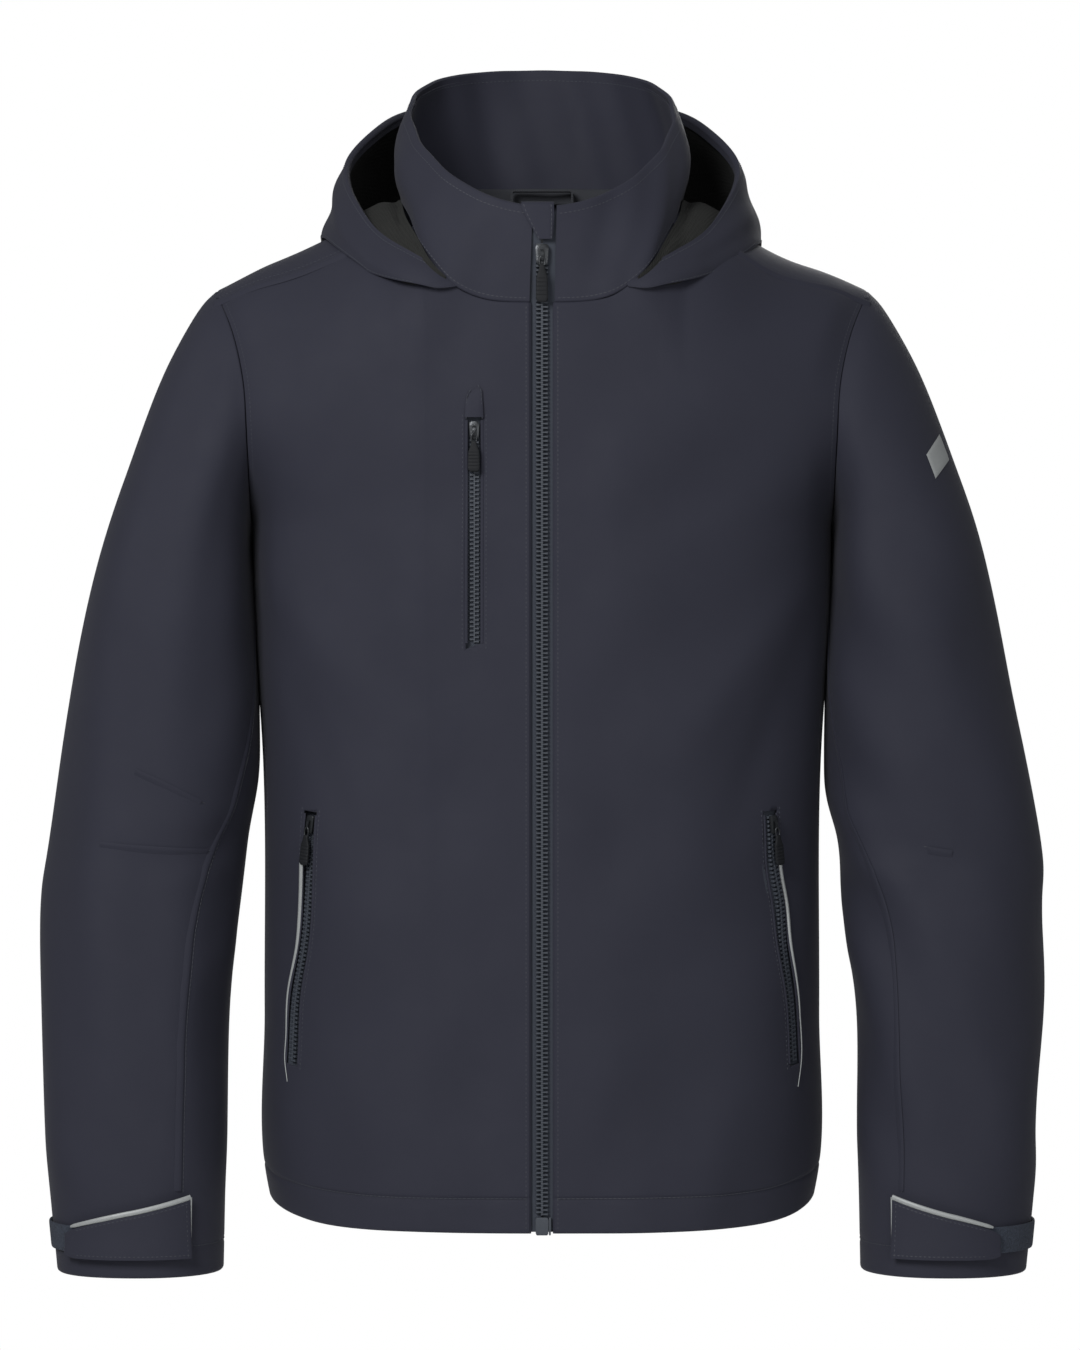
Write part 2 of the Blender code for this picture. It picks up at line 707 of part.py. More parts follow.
def make_main_zip(finish):
    line = main_line()
    for side, name in ((1, "left"), (-1, "right")):
        # across runs to the wearer's right on this line, so the left side's places are negative
        edges = tuple(sorted((-side * (TEETH_HALF + 0.0004), -side * 0.0105)))
        stations = [(along, edges, -0.0023 - TAPE_THICK, -0.0023) for along in (0.0, line.length - 0.003)]
        prism(f"main_zip_tape_{name}", line, stations, finish["tape"])
        make_teeth(f"main_zip_teeth_{name}", line, -side, line.length - 0.013, 0.001, finish)
    foot = line.length
    box = [(foot - 0.012, 0.0042, -0.0036, 0.0008), (foot, 0.0042, -0.0036, 0.0008)]
    pin = [(along, (-0.0062, -0.0047), -0.0021, 0.0004) for along in (foot - 0.012, foot - 0.001)]
    prism("main_zip_retainer_box", line, box, finish["teeth"])
    prism("main_zip_insertion_pin", line, pin, finish["teeth"])
    flap_top, flap_end = 0.02, line.length - 0.008
    flap = [(flap_top, 0.024, -0.0062, -0.005), (flap_end, 0.024, -0.0062, -0.005)]
    prism("storm_flap", line, flap, finish["shell"])
    make_slider("main_zip", line, 0.001, 0.0165, 0.0062, finish)
    make_puller("main_zip", line, 0.0105, 0.031, finish)


def make_slider(name, line, top, length, half, finish):
    """A channel that rides over the teeth: a face with a flange down each side."""
    face, crest, lip = 0.0007, 0.0022, -0.0018
    inner = TEETH_HALF + 0.0004
    section = [
        (-half, lip),
        (-half, crest),
        (half, crest),
        (half, lip),
        (inner, lip),
        (inner, face),
        (-inner, face),
        (-inner, lip),
    ]
    n = len(section)
    points = [line.at(a, o, d) for d in (top, top + length) for a, o in section]
    ends = [[0, 1, 6, 7], [1, 2, 5, 6], [2, 3, 4, 5]]
    faces = ends + [[i + n for i in reversed(f)] for f in ends]
    faces += [[i, (i + 1) % n, (i + 1) % n + n, i + n] for i in range(n)]
    return solid(f"{name}_slider", points, faces, finish["slider"], line.at(0, 0, top))


def make_puller(name, line, top, length, finish):
    """A moulded pull tab that hangs from the slider's bridge, with its origin on the pivot."""
    low, high = 0.0027, 0.005
    pivot = line.at(0, (low + high) / 2, top)
    stations = [
        (top - 0.0008, 0.0018, low, high),
        (top + 0.005, 0.0024, low, high),
        (top + 0.009, 0.0038, low, high),
        (top + length - 0.003, 0.0042, low, high),
        (top + length, 0.003, low, high),
    ]
    return prism(f"{name}_puller", line, stations, finish["puller"], pivot)


def cut_slot(panel, line, half, length):
    """Opens the panel where a pocket zip is let in."""
    cutter_finish = panel.data.materials[0]
    stations = [(-0.002, half, -0.02, 0.02), (length + 0.002, half, -0.02, 0.02)]
    cutter = prism(f"{panel.name}_slot_{len(panel.modifiers)}", line, stations, cutter_finish)
    cutter.hide_render = True
    cutter.display_type = "WIRE"
    modifier = panel.modifiers.new("slot", "BOOLEAN")
    modifier.operation = "DIFFERENCE"
    modifier.solver = "EXACT"
    modifier.object = cutter


def make_pocket_zip(name, line, depth, finish):
    """Tape behind the slot, teeth in it, and a slider with its puller at the top."""
    tape = [(along, TAPE_HALF, -depth - TAPE_THICK, -depth) for along in (-0.004, line.length + 0.004)]
    prism(f"{name}_tape", line, tape, finish["tape"])
    teeth = [(along, POCKET_TEETH_HALF, -depth + 0.0004, -0.0002) for along in (0.0, line.length)]
    prism(f"{name}_teeth", line, teeth, finish["teeth"])
    face = [(0.001, 0.0032, 0.0003, 0.0018), (0.008, 0.0046, 0.0003, 0.0026), (0.014, 0.0042, 0.0003, 0.0018)]
    prism(f"{name}_slider", line, face, finish["slider"], line.at(0, 0, 0.001))
    make_puller(name, line, 0.01, 0.026, finish)


def make_pocket_bag(name, x_range, z_range, side, inset, finish):
    """A flat pouch of lining fabric, closed up, lying between the shell and the body lining."""
    grid = []
    for i in range(5):
        z = z_range[0] + (z_range[1] - z_range[0]) * i / 4
        xs = [x_range[0] + (x_range[1] - x_range[0]) * j / 5 for j in range(6)]
        grid.append([(x, torso_y(x, z, False), z) for x in xs])
    grid = np.array(grid)
    grid = (grid + inset * inward(grid)) * np.array([side, 1.0, 1.0])
    return thick(name, grid, LINING, finish["lining"], TORSO_MIDDLE)


def make_pockets(panels, finish):
    chest = front_line(CHEST_ZIP, -1)
    cut_slot(panels["right"], chest, SLOT_HALF, chest.length)
    make_pocket_zip("chest_zip", chest, CHEST_ZIP_DEPTH, finish)
    garage = [
        (-0.021, 0.0035, CLEAR, 0.0024),
        (-0.017, 0.0058, CLEAR, 0.0024),
        (-0.0025, 0.0058, CLEAR, 0.0024),
    ]
    prism("chest_zip_garage", chest, garage, finish["shell"])
    make_pocket_bag("chest_pocket_bag", (0.034, 0.13), (-0.345, -0.19), -1, 0.0046, finish)
    for side, name in ((1, "left"), (-1, "right")):
        line = front_line(HAND_ZIP, side)
        cut_slot(panels[name], line, SLOT_HALF, line.length)
        make_pocket_zip(f"hand_zip_{name}", line, HAND_ZIP_DEPTH, finish)
        edges = tuple(sorted((-side * 0.0066, -side * 0.0096)))
        piping = [(0.02, edges, 0.0016, 0.0032), (line.length - 0.01, edges, 0.0016, 0.0032)]
        prism(f"hand_pocket_piping_{name}", line, piping, finish["piping"])
        make_pocket_bag(f"hand_pocket_bag_{name}", (0.06, 0.15), (-0.66, -0.47), side, 0.0056, finish)


def make_reflective_bar(finish):
    """A plain reflective bar on the wearer's left upper sleeve."""
    angles = [50, 44, 38, 32, 26]
    low = cuff_patch(angles, 0.27, 0.31, 0.0005, 1, 1)
    high = cuff_patch(angles, 0.27, 0.31, 0.0012, 1, 1)
    pivot = shoulder_hinge(1)
    return solid_from_grids("sleeve_reflective_bar", high, low, finish["piping"], pivot=pivot)


def main():
    for obj in list(bpy.data.objects):
        bpy.data.objects.remove(obj)
    finish = make_materials()
    panels = make_body_panels(finish)
    make_body_linings(finish)
    make_collar(finish)
    make_hood(finish)
    make_chin_guard(finish)
    make_hanger_loop(finish)
    for side, name in ((1, "left"), (-1, "right")):
        make_sleeve(side, name, finish)
        make_cuff(side, name, finish)
    make_main_zip(finish)
    make_pockets(panels, finish)
    make_reflective_bar(finish)


main()
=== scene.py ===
import math

import bmesh
import bpy
import numpy as np
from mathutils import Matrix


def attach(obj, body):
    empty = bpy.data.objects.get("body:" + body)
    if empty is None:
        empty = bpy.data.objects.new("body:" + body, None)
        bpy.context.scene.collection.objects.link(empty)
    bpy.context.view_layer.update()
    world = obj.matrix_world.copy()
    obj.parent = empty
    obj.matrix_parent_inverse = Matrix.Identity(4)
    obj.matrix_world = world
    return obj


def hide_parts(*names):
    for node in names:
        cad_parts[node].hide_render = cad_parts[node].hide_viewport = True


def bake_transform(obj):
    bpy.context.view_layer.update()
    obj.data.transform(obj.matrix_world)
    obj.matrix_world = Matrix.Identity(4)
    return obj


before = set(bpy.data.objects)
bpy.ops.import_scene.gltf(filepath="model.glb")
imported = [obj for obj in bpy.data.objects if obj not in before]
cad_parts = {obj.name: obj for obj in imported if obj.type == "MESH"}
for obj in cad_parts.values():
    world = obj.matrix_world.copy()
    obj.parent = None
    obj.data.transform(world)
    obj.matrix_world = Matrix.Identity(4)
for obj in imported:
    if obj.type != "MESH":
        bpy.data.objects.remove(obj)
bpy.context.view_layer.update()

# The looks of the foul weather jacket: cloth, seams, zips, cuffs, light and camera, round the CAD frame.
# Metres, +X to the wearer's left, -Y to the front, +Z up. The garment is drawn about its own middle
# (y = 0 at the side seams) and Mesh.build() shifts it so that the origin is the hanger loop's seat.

# Driving dimensions. Most are the CAD model's, but the hem, side line, shoulder tip, neckline and the
# outlines of the sleeves, hood and cuff tabs differ from it, to follow the garment more closely ------

HEM_Z = -0.7452
UNDERARM_Z = -0.2556
SHOULDER_TIP_Z = -0.0838
COLLAR_FRONT_Z = -0.036
NECK_FRONT_Z = -0.1015
YOKE_SEAM_Z = -0.135
CUFF_Z = -0.785
ELBOW_Z = -0.482
HEM_SIDE_RISE = 0.013
HEM_POWER = 10  # the hem is level, and rises only beside the side seams
SHOULDER_DIP = 0.0024
LEFT_SHOULDER_DROP = 0.0046
HEM_HALF_WIDTH = 0.1925
BODY_HALF_WIDTH = 0.1992
SHOULDER_HALF_WIDTH = 0.2335
NECK_HALF_WIDTH = 0.1
ARMHOLE_ROOM = 0.057
FRONT_DEPTH_AT_HEM = 0.128
FRONT_DEPTH_AT_COLLAR = 0.1115
BACK_DEPTH = 0.105
LOOP_SEAT = np.array([0.0, 0.0715, -0.004])
ZIP_SLOT = 0.0075
TEETH_HALF = 0.0043
POCKET_TEETH_HALF = 0.0034
MAIN_ZIP_TOP_Z = -0.0605
CHEST_ZIP = ((0.0469, -0.1834), (0.0469, -0.338))
HAND_ZIP = ((0.161, -0.4573), (0.177, -0.632))
TORSO_MIDDLE = np.array([0.0, 0.0, -0.3])
NECK_MIDDLE = np.array([0.0, -0.01, 0.0])
UP = np.array([0.0, 0.0, 1.0])
SIDES = {"left": 1, "right": -1}

# Cloth: its thicknesses, how far an edge turns in row by row, and its seams
CLOTH = 0.0013
LINING = 0.0009
LINING_INSET = 0.0075
LINING_ABOVE_HEM = 0.04
ROLL = (0.0011, 0.0004, 0.0001)
EDGE_STEPS = np.array([0.0007, 0.0016, 0.003, 0.0055])
HEM_DEPTH = 0.024
STITCH_PITCH = 0.0032
STITCH_RADIUS = 0.00034


# Curves -----------------------------------------------------------------------------------------


def smooth_curve(points, at):
    """Heights at `at` of a smooth curve through points (place, height) in rising places."""
    place, height = np.array(points, float).T
    slope = np.gradient(height, place)
    at = np.clip(at, place[0], place[-1])
    i = np.clip(np.searchsorted(place, at) - 1, 0, len(place) - 2)
    span = place[i + 1] - place[i]
    t = (at - place[i]) / span
    rise = height[i] * (2 * t**3 - 3 * t**2 + 1) + height[i + 1] * (3 * t**2 - 2 * t**3)
    return rise + span * (slope[i] * (t**3 - 2 * t**2 + t) + slope[i + 1] * (t**3 - t**2))


def smoothstep(t):
    t = np.clip(t, 0.0, 1.0)
    return t * t * (3 - 2 * t)


def round_off(share, power):
    """1 at share 0, falling to 0 at share 1 as a superellipse does."""
    return (1 - np.clip(share, 0.0, 1.0) ** power) ** (1 / power)


def directions(path):
    """The unit direction of travel at each point of a path."""
    travel = np.gradient(path, axis=0)
    return travel / np.maximum(np.linalg.norm(travel, axis=1, keepdims=True), 1e-9)


def ellipse(count, wide, high):
    """Places round an ellipse with half axes wide and high."""
    turn = np.linspace(0, 2 * math.pi, count + 1)[:-1]
    return np.stack([wide * np.cos(turn), high * np.sin(turn)], axis=1)


def crowded(count, length, at=()):
    """Shares from 0 to 1: even ones, with more of them near both ends and beside each place in `at`."""
    near = EDGE_STEPS / length
    shares = [np.linspace(0, 1, count), near, 1 - near]
    for place in at:
        shares += [[place], place + near[:2], place - near[:2]]
    shares = np.unique(np.round(np.concatenate(shares), 6))
    return shares[(shares >= 0) & (shares <= 1)]


# The torso's surface ----------------------------------------------------------------------------

SIDE_LINE = (
    (HEM_Z, HEM_HALF_WIDTH),
    (-0.715, 0.1985),
    (-0.6, BODY_HALF_WIDTH),
    (-0.42, 0.2004),
    (-0.34, 0.2052),
    (UNDERARM_Z, 0.2078),
    (-0.2, 0.207),
    (-0.147, 0.211),
    (-0.118, 0.2185),
    (SHOULDER_TIP_Z, SHOULDER_HALF_WIDTH),
)


def side_x(z):
    return smooth_curve(SIDE_LINE, z)


def whole_x(z):
    """Half the width that the torso would have if it went on through the armhole."""
    return side_x(z) + ARMHOLE_ROOM * smoothstep((z - UNDERARM_Z) / 0.09)


def ridge_z(x):
    """The height of the shoulder line, which climbs into the neck."""
    neck = 0.12 * np.clip(1 - (x / NECK_HALF_WIDTH) ** 2, 0, 1) ** 1.5
    out = np.clip((np.abs(x) - 0.11) / (SHOULDER_HALF_WIDTH - 0.11), 0, 1)
    dip = SHOULDER_DIP + np.where(x > 0, LEFT_SHOULDER_DROP, 0.0)
    fall = 0.0034 * smoothstep((np.abs(x) - 0.192) / (SHOULDER_HALF_WIDTH - 0.192))
    return 0.0247 - 0.45 * np.abs(x) + neck - dip * np.sin(math.pi * out) ** 2 - fall


def front_depth(z):
    share = (z - HEM_Z) / (COLLAR_FRONT_Z - HEM_Z)
    return FRONT_DEPTH_AT_HEM + (FRONT_DEPTH_AT_COLLAR - FRONT_DEPTH_AT_HEM) * share


def back_depth(z):
    return smooth_curve(((HEM_Z, BACK_DEPTH), (-0.5, 0.1), (-0.22, 0.112), (0.0, 0.09)), z)


def torso_y(x, z, back):
    depth, fall = (back_depth(z), 0.2) if back else (-front_depth(z), 0.15)
    around = round_off(np.abs(x) / whole_x(z), 2.4)
    return depth * around * round_off((z - ridge_z(x) + fall) / fall, 2.2)


def neckline_z(x, back):
    side = ridge_z(NECK_HALF_WIDTH)
    share = np.minimum(np.abs(x) / NECK_HALF_WIDTH, 1.0)
    if back:
        return side + 0.01 * np.sqrt(1 - share**2)
    return side - (side - NECK_FRONT_Z) * (1 - share**3.8)


def yoke_drop(x):
    """How far below the shoulder line the yoke's seam runs on the front."""
    return 0.011 + 0.12 * (SHOULDER_HALF_WIDTH - x)


# Folds and creases: how far the cloth stands off the smooth surface ------------------------------


def waves(points, seed, height, shortest, longest, count=7):
    """Soft undulation: a few long waves across space, the same each run."""
    draw = np.random.default_rng(seed)
    total = np.zeros(points.shape[:-1])
    for _ in range(count):
        direction = draw.normal(size=3) * (1.0, 0.5, 0.6)
        direction /= np.linalg.norm(direction)
        length = draw.uniform(shortest, longest)
        phase = draw.uniform(0, 2 * math.pi)
        total += np.sin(points @ direction * 2 * math.pi / length + phase)
    return total * height / count**0.5


def crease(x, z, start, end, width, height):
    """A fold along the line from start to end, dying away at its ends. Height is negative for a valley."""
    start, end = np.array(start), np.array(end)
    run = end - start
    share = ((x - start[0]) * run[0] + (z - start[1]) * run[1]) / (run @ run)
    away = ((x - start[0]) * run[1] - (z - start[1]) * run[0]) / np.linalg.norm(run)
    fade = np.clip(4 * share * (1 - share), 0, 1)
    return height * fade * np.exp(-((away / width) ** 2))


FRONT_CREASES = (
    ((0.205, -0.27), (0.09, -0.42), 0.016, 0.0022),
    ((0.2, -0.3), (0.12, -0.5), 0.014, -0.0018),
    ((0.195, -0.21), (0.06, -0.29), 0.02, 0.0016),
    ((0.19, -0.56), (0.08, -0.72), 0.03, 0.0022),
    ((0.06, -0.62), (0.03, -0.76), 0.022, -0.0018),
    ((0.13, -0.64), (0.11, -0.77), 0.018, 0.002),
)
BACK_CREASES = (
    ((0.2, -0.27), (0.08, -0.36), 0.02, 0.0025),
    ((0.2, -0.5), (0.05, -0.62), 0.035, 0.003),
    ((0.09, -0.55), (0.07, -0.77), 0.025, -0.003),
)


def torso_height(x, z, back):
    """How far the torso's cloth stands proud of the smooth surface."""
    points = np.stack(np.broadcast_arrays(x, np.full_like(z, 0.3 if back else 0.0), z), axis=-1)
    height = waves(points, 11 if back else 4, 0.0023, 0.075, 0.24)
    for start, end, width, rise in BACK_CREASES if back else FRONT_CREASES:
        for side in (1, -1):
            lean = 1.0 if side > 0 else 0.8
            height = height + lean * crease(side * x, z, start, end, width, rise)
    if not back:
        height = height * smoothstep((np.abs(x) - ZIP_SLOT) / 0.05)
    by_ridge = smoothstep((ridge_z(x) - z) / 0.03)
    return height * smoothstep((side_x(z) - np.abs(x)) / 0.024) * by_ridge


def torso_slopes(x, z, back, step):
    """How fast the torso's y changes across and upwards."""
    slope_x = (torso_y(x + step, z, back) - torso_y(x - step, z, back)) / (2 * step)
    slope_z = (torso_y(x, z + step, back) - torso_y(x, z - step, back)) / (2 * step)
    return slope_x, slope_z


def torso_skin(x, z, back, proud=0.0):
    """Points on the torso's cloth, `proud` metres outside it, with the outward normals."""
    x, z = np.broadcast_arrays(np.asarray(x, float), np.asarray(z, float))
    slope_x, slope_z = torso_slopes(x, z, back, 0.0015)
    normal = np.stack([-slope_x, np.ones_like(x), -slope_z], axis=-1) * (1 if back else -1)
    normal /= np.linalg.norm(normal, axis=-1, keepdims=True)
    points = np.stack([x, torso_y(x, z, back), z], axis=-1)
    return points + (torso_height(x, z, back) + proud)[..., None] * normal, normal


# Meshes -----------------------------------------------------------------------------------------


def grid_normals(grid):
    normal = np.cross(np.gradient(grid, axis=1), np.gradient(grid, axis=0))
    return normal / np.maximum(np.linalg.norm(normal, axis=2, keepdims=True), 1e-12)


def inward(grid, toward):
    """Unit normals of a grid, on the side that faces the point `toward`."""
    normal = grid_normals(grid)
    return normal * np.sign(np.sum(normal * (toward - grid)))


def rolled(grid, normals, sides=(1, 1, 1, 1)):
    """The grid with its first row, last row, first column and last column turned in, as at a seam."""
    grid = grid.copy()
    for wanted, (rows, first) in zip(sides, ((True, True), (True, False), (False, True), (False, False))):
        for k, depth in enumerate(ROLL):
            line = k if first else -1 - k
            place = (line,) if rows else (slice(None), line)
            grid[place] += wanted * depth * normals[place]
    return grid


def grid_faces(rows, columns, closed=False):
    index = np.arange(rows * columns).reshape(rows, columns)
    right = np.roll(index, -1, axis=1) if closed else index[:, 1:]
    left = index if closed else index[:, :-1]
    return np.stack([left[:-1], right[:-1], right[1:], left[1:]], axis=-1).reshape(-1, 4)


class Mesh:
    """Points and faces collected for one object, with places on the cloth (metres) for its weave."""

    def __init__(self):
        self.points = []
        self.cloth = []
        self.faces = []
        self.count = 0

    def add(self, points, faces, cloth=None):
        points = np.asarray(points, float).reshape(-1, 3)
        self.points.append(points)
        self.cloth.append(points[:, [0, 2]] if cloth is None else np.asarray(cloth).reshape(-1, 2))
        self.faces += [[i + self.count for i in face] for face in faces]
        self.count += len(points)

    def add_sheet(self, outer, inner, closed=False):
        """One closed body between two grids of the same shape."""
        rows, columns = outer.shape[:2]
        below = rows * columns
        quads = grid_faces(rows, columns, closed)
        index = np.arange(below).reshape(rows, columns)
        rims = [index[0], index[-1]] if closed else [index[0], index[-1], index[:, 0], index[:, -1]]
        faces = quads.tolist() + (quads[:, ::-1] + below).tolist()
        for rim in rims:
            after = np.roll(rim, -1) if closed else rim[1:]
            before = rim if closed else rim[:-1]
            faces += np.stack([before, after, after + below, before + below], axis=-1).tolist()
        across = np.linalg.norm(np.diff(outer, axis=1), axis=2).mean(axis=0).cumsum()
        along = np.linalg.norm(np.diff(outer, axis=0), axis=2).mean(axis=1).cumsum()
        place = np.stack(np.meshgrid(np.insert(across, 0, 0), np.insert(along, 0, 0)), axis=-1)
        self.add(np.stack([outer, inner]), faces, np.stack([place, place]))

    def add_bar(self, centres, sides, ups, profile):
        """A bar swept along centres: profile is a ring of (sideways, up) places, or one for each centre."""
        profile = np.asarray(profile, float)
        if profile.ndim == 2:
            profile = np.broadcast_to(profile, (len(centres), *profile.shape))
        rings = centres[:, None] + profile[..., :1] * sides[:, None] + profile[..., 1:] * ups[:, None]
        rows, columns = rings.shape[:2]
        faces = grid_faces(rows, columns, closed=True).tolist()
        faces += [list(range(columns)), list(range((rows - 1) * columns, rows * columns))]
        along = np.insert(np.linalg.norm(np.diff(centres, axis=0), axis=1).cumsum(), 0, 0)
        around = np.insert(np.linalg.norm(np.diff(profile[0], axis=0), axis=1).cumsum(), 0, 0)
        self.add(rings, faces, np.stack(np.meshgrid(around, along), axis=-1))

    def build(self, name, finish, smooth_angle=40):
        mesh = bpy.data.meshes.new(name)
        points = np.concatenate(self.points) - LOOP_SEAT
        mesh.from_pydata(points.tolist(), [], self.faces)
        places = np.concatenate(self.cloth)
        layer = mesh.uv_layers.new(name="cloth")
        corners = np.zeros(len(mesh.loops), np.int32)
        mesh.loops.foreach_get("vertex_index", corners)
        layer.data.foreach_set("uv", places[corners].astype(np.float32).ravel())
        work = bmesh.new()
        work.from_mesh(mesh)
        bmesh.ops.recalc_face_normals(work, faces=work.faces)
        work.to_mesh(mesh)
        work.free()
        mesh.shade_smooth()
        mesh.set_sharp_from_angle(angle=math.radians(smooth_angle))
        mesh.materials.append(finish)
        obj = bpy.data.objects.new(name, mesh)
        bpy.context.scene.collection.objects.link(obj)
        return obj


def body_panel(name, grid):
    """A panel of the body whose outer face is the grid, with its edges turned in at the seams."""
    normals = inward(grid, TORSO_MIDDLE)
    outer = rolled(grid, normals)
    made = Mesh()
    made.add_sheet(outer, outer + CLOTH * normals)
    return made.build(name, FINISH["shell_fabric"])


def resampled(path, normals, pitch):
    """The path and its normals at even distances of about `pitch`, with the direction of travel."""
    path, normals = np.asarray(path), np.asarray(normals)
    length = np.insert(np.linalg.norm(np.diff(path, axis=0), axis=1).cumsum(), 0, 0)
    count = max(2, int(round(length[-1] / pitch)) + 1)
    places = np.linspace(0, length[-1], count)
    path = np.stack([np.interp(places, length, path[:, i]) for i in range(3)], axis=1)
    normals = np.stack([np.interp(places, length, normals[:, i]) for i in range(3)], axis=1)
    normals /= np.linalg.norm(normals, axis=1, keepdims=True)
    return path, normals, directions(path)


def add_stitches(made, path, normals):
    """A row of lockstitches, each a short thread that dips into the cloth at both ends."""
    path, normals, travel = resampled(path, normals, STITCH_PITCH)
    sides = np.cross(travel, normals)
    half = STITCH_PITCH * 0.4
    ring = ellipse(5, STITCH_RADIUS, STITCH_RADIUS)
    profile = np.stack([ring * 0.5, ring, ring * 0.5])
    for centre, up, way, side in zip(path, normals, travel, sides):
        dip = up * STITCH_RADIUS
        centres = np.array([centre - way * half - dip, centre, centre + way * half - dip])
        made.add_bar(centres, np.array([side] * 3), np.array([up] * 3), profile)


def add_lap(made, path, normals, width, height):
    """A lapped seam: a step in the cloth along the path, falling away over its width to one side."""
    path, normals, travel = resampled(path, normals, 0.004)
    sides = np.cross(travel, normals)
    crest = [(-0.0002, height * 0.8), (0.0006, height), (width * 0.5, height * 0.7)]
    profile = [(0, -0.0006), *crest, (width, -0.0003)]
    made.add_bar(path, sides, normals, profile)


# Materials --------------------------------------------------------------------------------------


class Shader:
    """A material's node tree, with short ways to add and join nodes."""

    def __init__(self, name, colour, roughness, **sockets):
        self.made = bpy.data.materials.new(name)
        self.made.use_nodes = True
        self.made.diffuse_color = (*colour, 1.0)
        self.tree = self.made.node_tree
        self.base = self.tree.nodes["Principled BSDF"]
        self.base.inputs["Base Color"].default_value = (*colour, 1.0)
        self.base.inputs["Roughness"].default_value = roughness
        for socket, value in sockets.items():
            self.base.inputs[socket.replace("_", " ")].default_value = value
        self.colour = colour

    def add(self, kind, inputs=(), **settings):
        node = self.tree.nodes.new(kind)
        for key, value in settings.items():
            setattr(node, key, value)
        for socket, value in dict(inputs).items():
            if isinstance(value, bpy.types.NodeSocket):
                self.tree.links.new(value, node.inputs[socket])
            else:
                node.inputs[socket].default_value = value
        return node

    def math(self, operation, first, second):
        return self.add("ShaderNodeMath", {0: first, 1: second}, operation=operation).outputs[0]

    def vary_colour(self, source, low, high):
        """Multiplies the base colour by low to high as source goes from 0 to 1."""
        ramp = self.add("ShaderNodeValToRGB", {"Fac": source})
        for stop, factor in zip(ramp.color_ramp.elements, (low, high)):
            stop.color = (*(min(1.0, c * factor) for c in self.colour), 1.0)
        self.tree.links.new(ramp.outputs["Color"], self.base.inputs["Base Color"])

    def vary_roughness(self, source, low, high):
        spread = self.add("ShaderNodeMapRange", {"Value": source, "To Min": low, "To Max": high})
        self.tree.links.new(spread.outputs["Result"], self.base.inputs["Roughness"])

    def bump(self, height, distance):
        bump = self.add("ShaderNodeBump", {"Height": height, "Distance": distance, "Strength": 1.0})
        self.tree.links.new(bump.outputs["Normal"], self.base.inputs["Normal"])


def threads(shader, pitch, turn=0.0):
    """Ribs `pitch` metres apart on the cloth's own places, turned by an angle."""
    on_cloth = shader.add("ShaderNodeTexCoord").outputs["UV"]
    turned = shader.add("ShaderNodeMapping", {"Vector": on_cloth, "Rotation": (0, 0, turn)})
    scale = 2 * math.pi / (20 * pitch)
    return shader.add(
        "ShaderNodeTexWave",
        {"Vector": turned.outputs["Vector"], "Scale": scale, "Distortion": 0.0},
        wave_type="BANDS",
        bands_direction="X",
    ).outputs["Fac"]


def noise(shader, size, detail=3.0):
    """Uneven values in space, `size` metres from one lump to the next."""
    inputs = {
        "Vector": shader.add("ShaderNodeTexCoord").outputs["Object"],
        "Scale": 1 / size,
        "Detail": detail,
    }
    return shader.add("ShaderNodeTexNoise", inputs).outputs["Fac"]


def woven(name, colour, roughness, pitch, depth, mottle=0.07, **sockets):
    """Plain-woven cloth: crossing threads, slight unevenness of colour, and a soft uneven surface."""
    shader = Shader(name, colour, roughness, **sockets)
    weave = shader.math("MULTIPLY", threads(shader, pitch), threads(shader, pitch, math.pi / 2))
    shader.vary_colour(noise(shader, 0.05), 1 - mottle, 1 + mottle)
    shader.vary_roughness(noise(shader, 0.02), roughness - 0.05, roughness + 0.05)
    grain = shader.math("MULTIPLY", noise(shader, 0.0015), 0.5)
    shader.bump(shader.math("ADD", weave, grain), depth)
    return shader.made


def ribbed(name, colour, roughness, pitch, depth):
    """Tape: a herringbone of slanting ribs."""
    shader = Shader(name, colour, roughness)
    ribs = shader.math("MAXIMUM", threads(shader, pitch, math.pi / 4), threads(shader, pitch, -math.pi / 4))
    shader.vary_colour(ribs, 0.7, 1.3)
    shader.bump(ribs, depth)
    return shader.made


def open_mesh(name, colour):
    """Knitted mesh lining: rows of small round holes, drawn as dark pits. Its near-black colour is partly the
    mesh's own and partly painted shade inside the hood.
    """
    shader = Shader(name, colour, 0.85)
    on_cloth = shader.add("ShaderNodeTexCoord").outputs["UV"]
    cells = shader.add("ShaderNodeTexVoronoi", {"Vector": on_cloth, "Scale": 420.0, "Randomness": 0.25})
    shader.vary_colour(cells.outputs["Distance"], 0.25, 1.9)
    shader.bump(cells.outputs["Distance"], 0.0006)
    return shader.made


def hooked(name, colour):
    """Hook-and-loop tape: a rough mat of tiny loops."""
    shader = Shader(name, colour, 0.95)
    tufts = noise(shader, 0.0016, 6.0)
    shader.vary_colour(tufts, 0.4, 2.0)
    shader.bump(tufts, 0.0012)
    return shader.made


def moulded(name, colour, roughness, **sockets):
    """Moulded plastic or painted metal with a fine uneven gloss."""
    shader = Shader(name, colour, roughness, **sockets)
    shader.vary_colour(noise(shader, 0.004), 0.85, 1.15)
    shader.vary_roughness(noise(shader, 0.001), roughness - 0.08, roughness + 0.08)
    shader.bump(noise(shader, 0.0008), 0.00008)
    return shader.made


def beaded(name, colour):
    """Retro-reflective tape: fine glass beads on silver."""
    shader = Shader(name, colour, 0.5, Metallic=0.25)
    beads = noise(shader, 0.0008, 2.0)
    shader.vary_colour(beads, 0.85, 1.12)
    shader.bump(beads, 0.0001)
    return shader.made


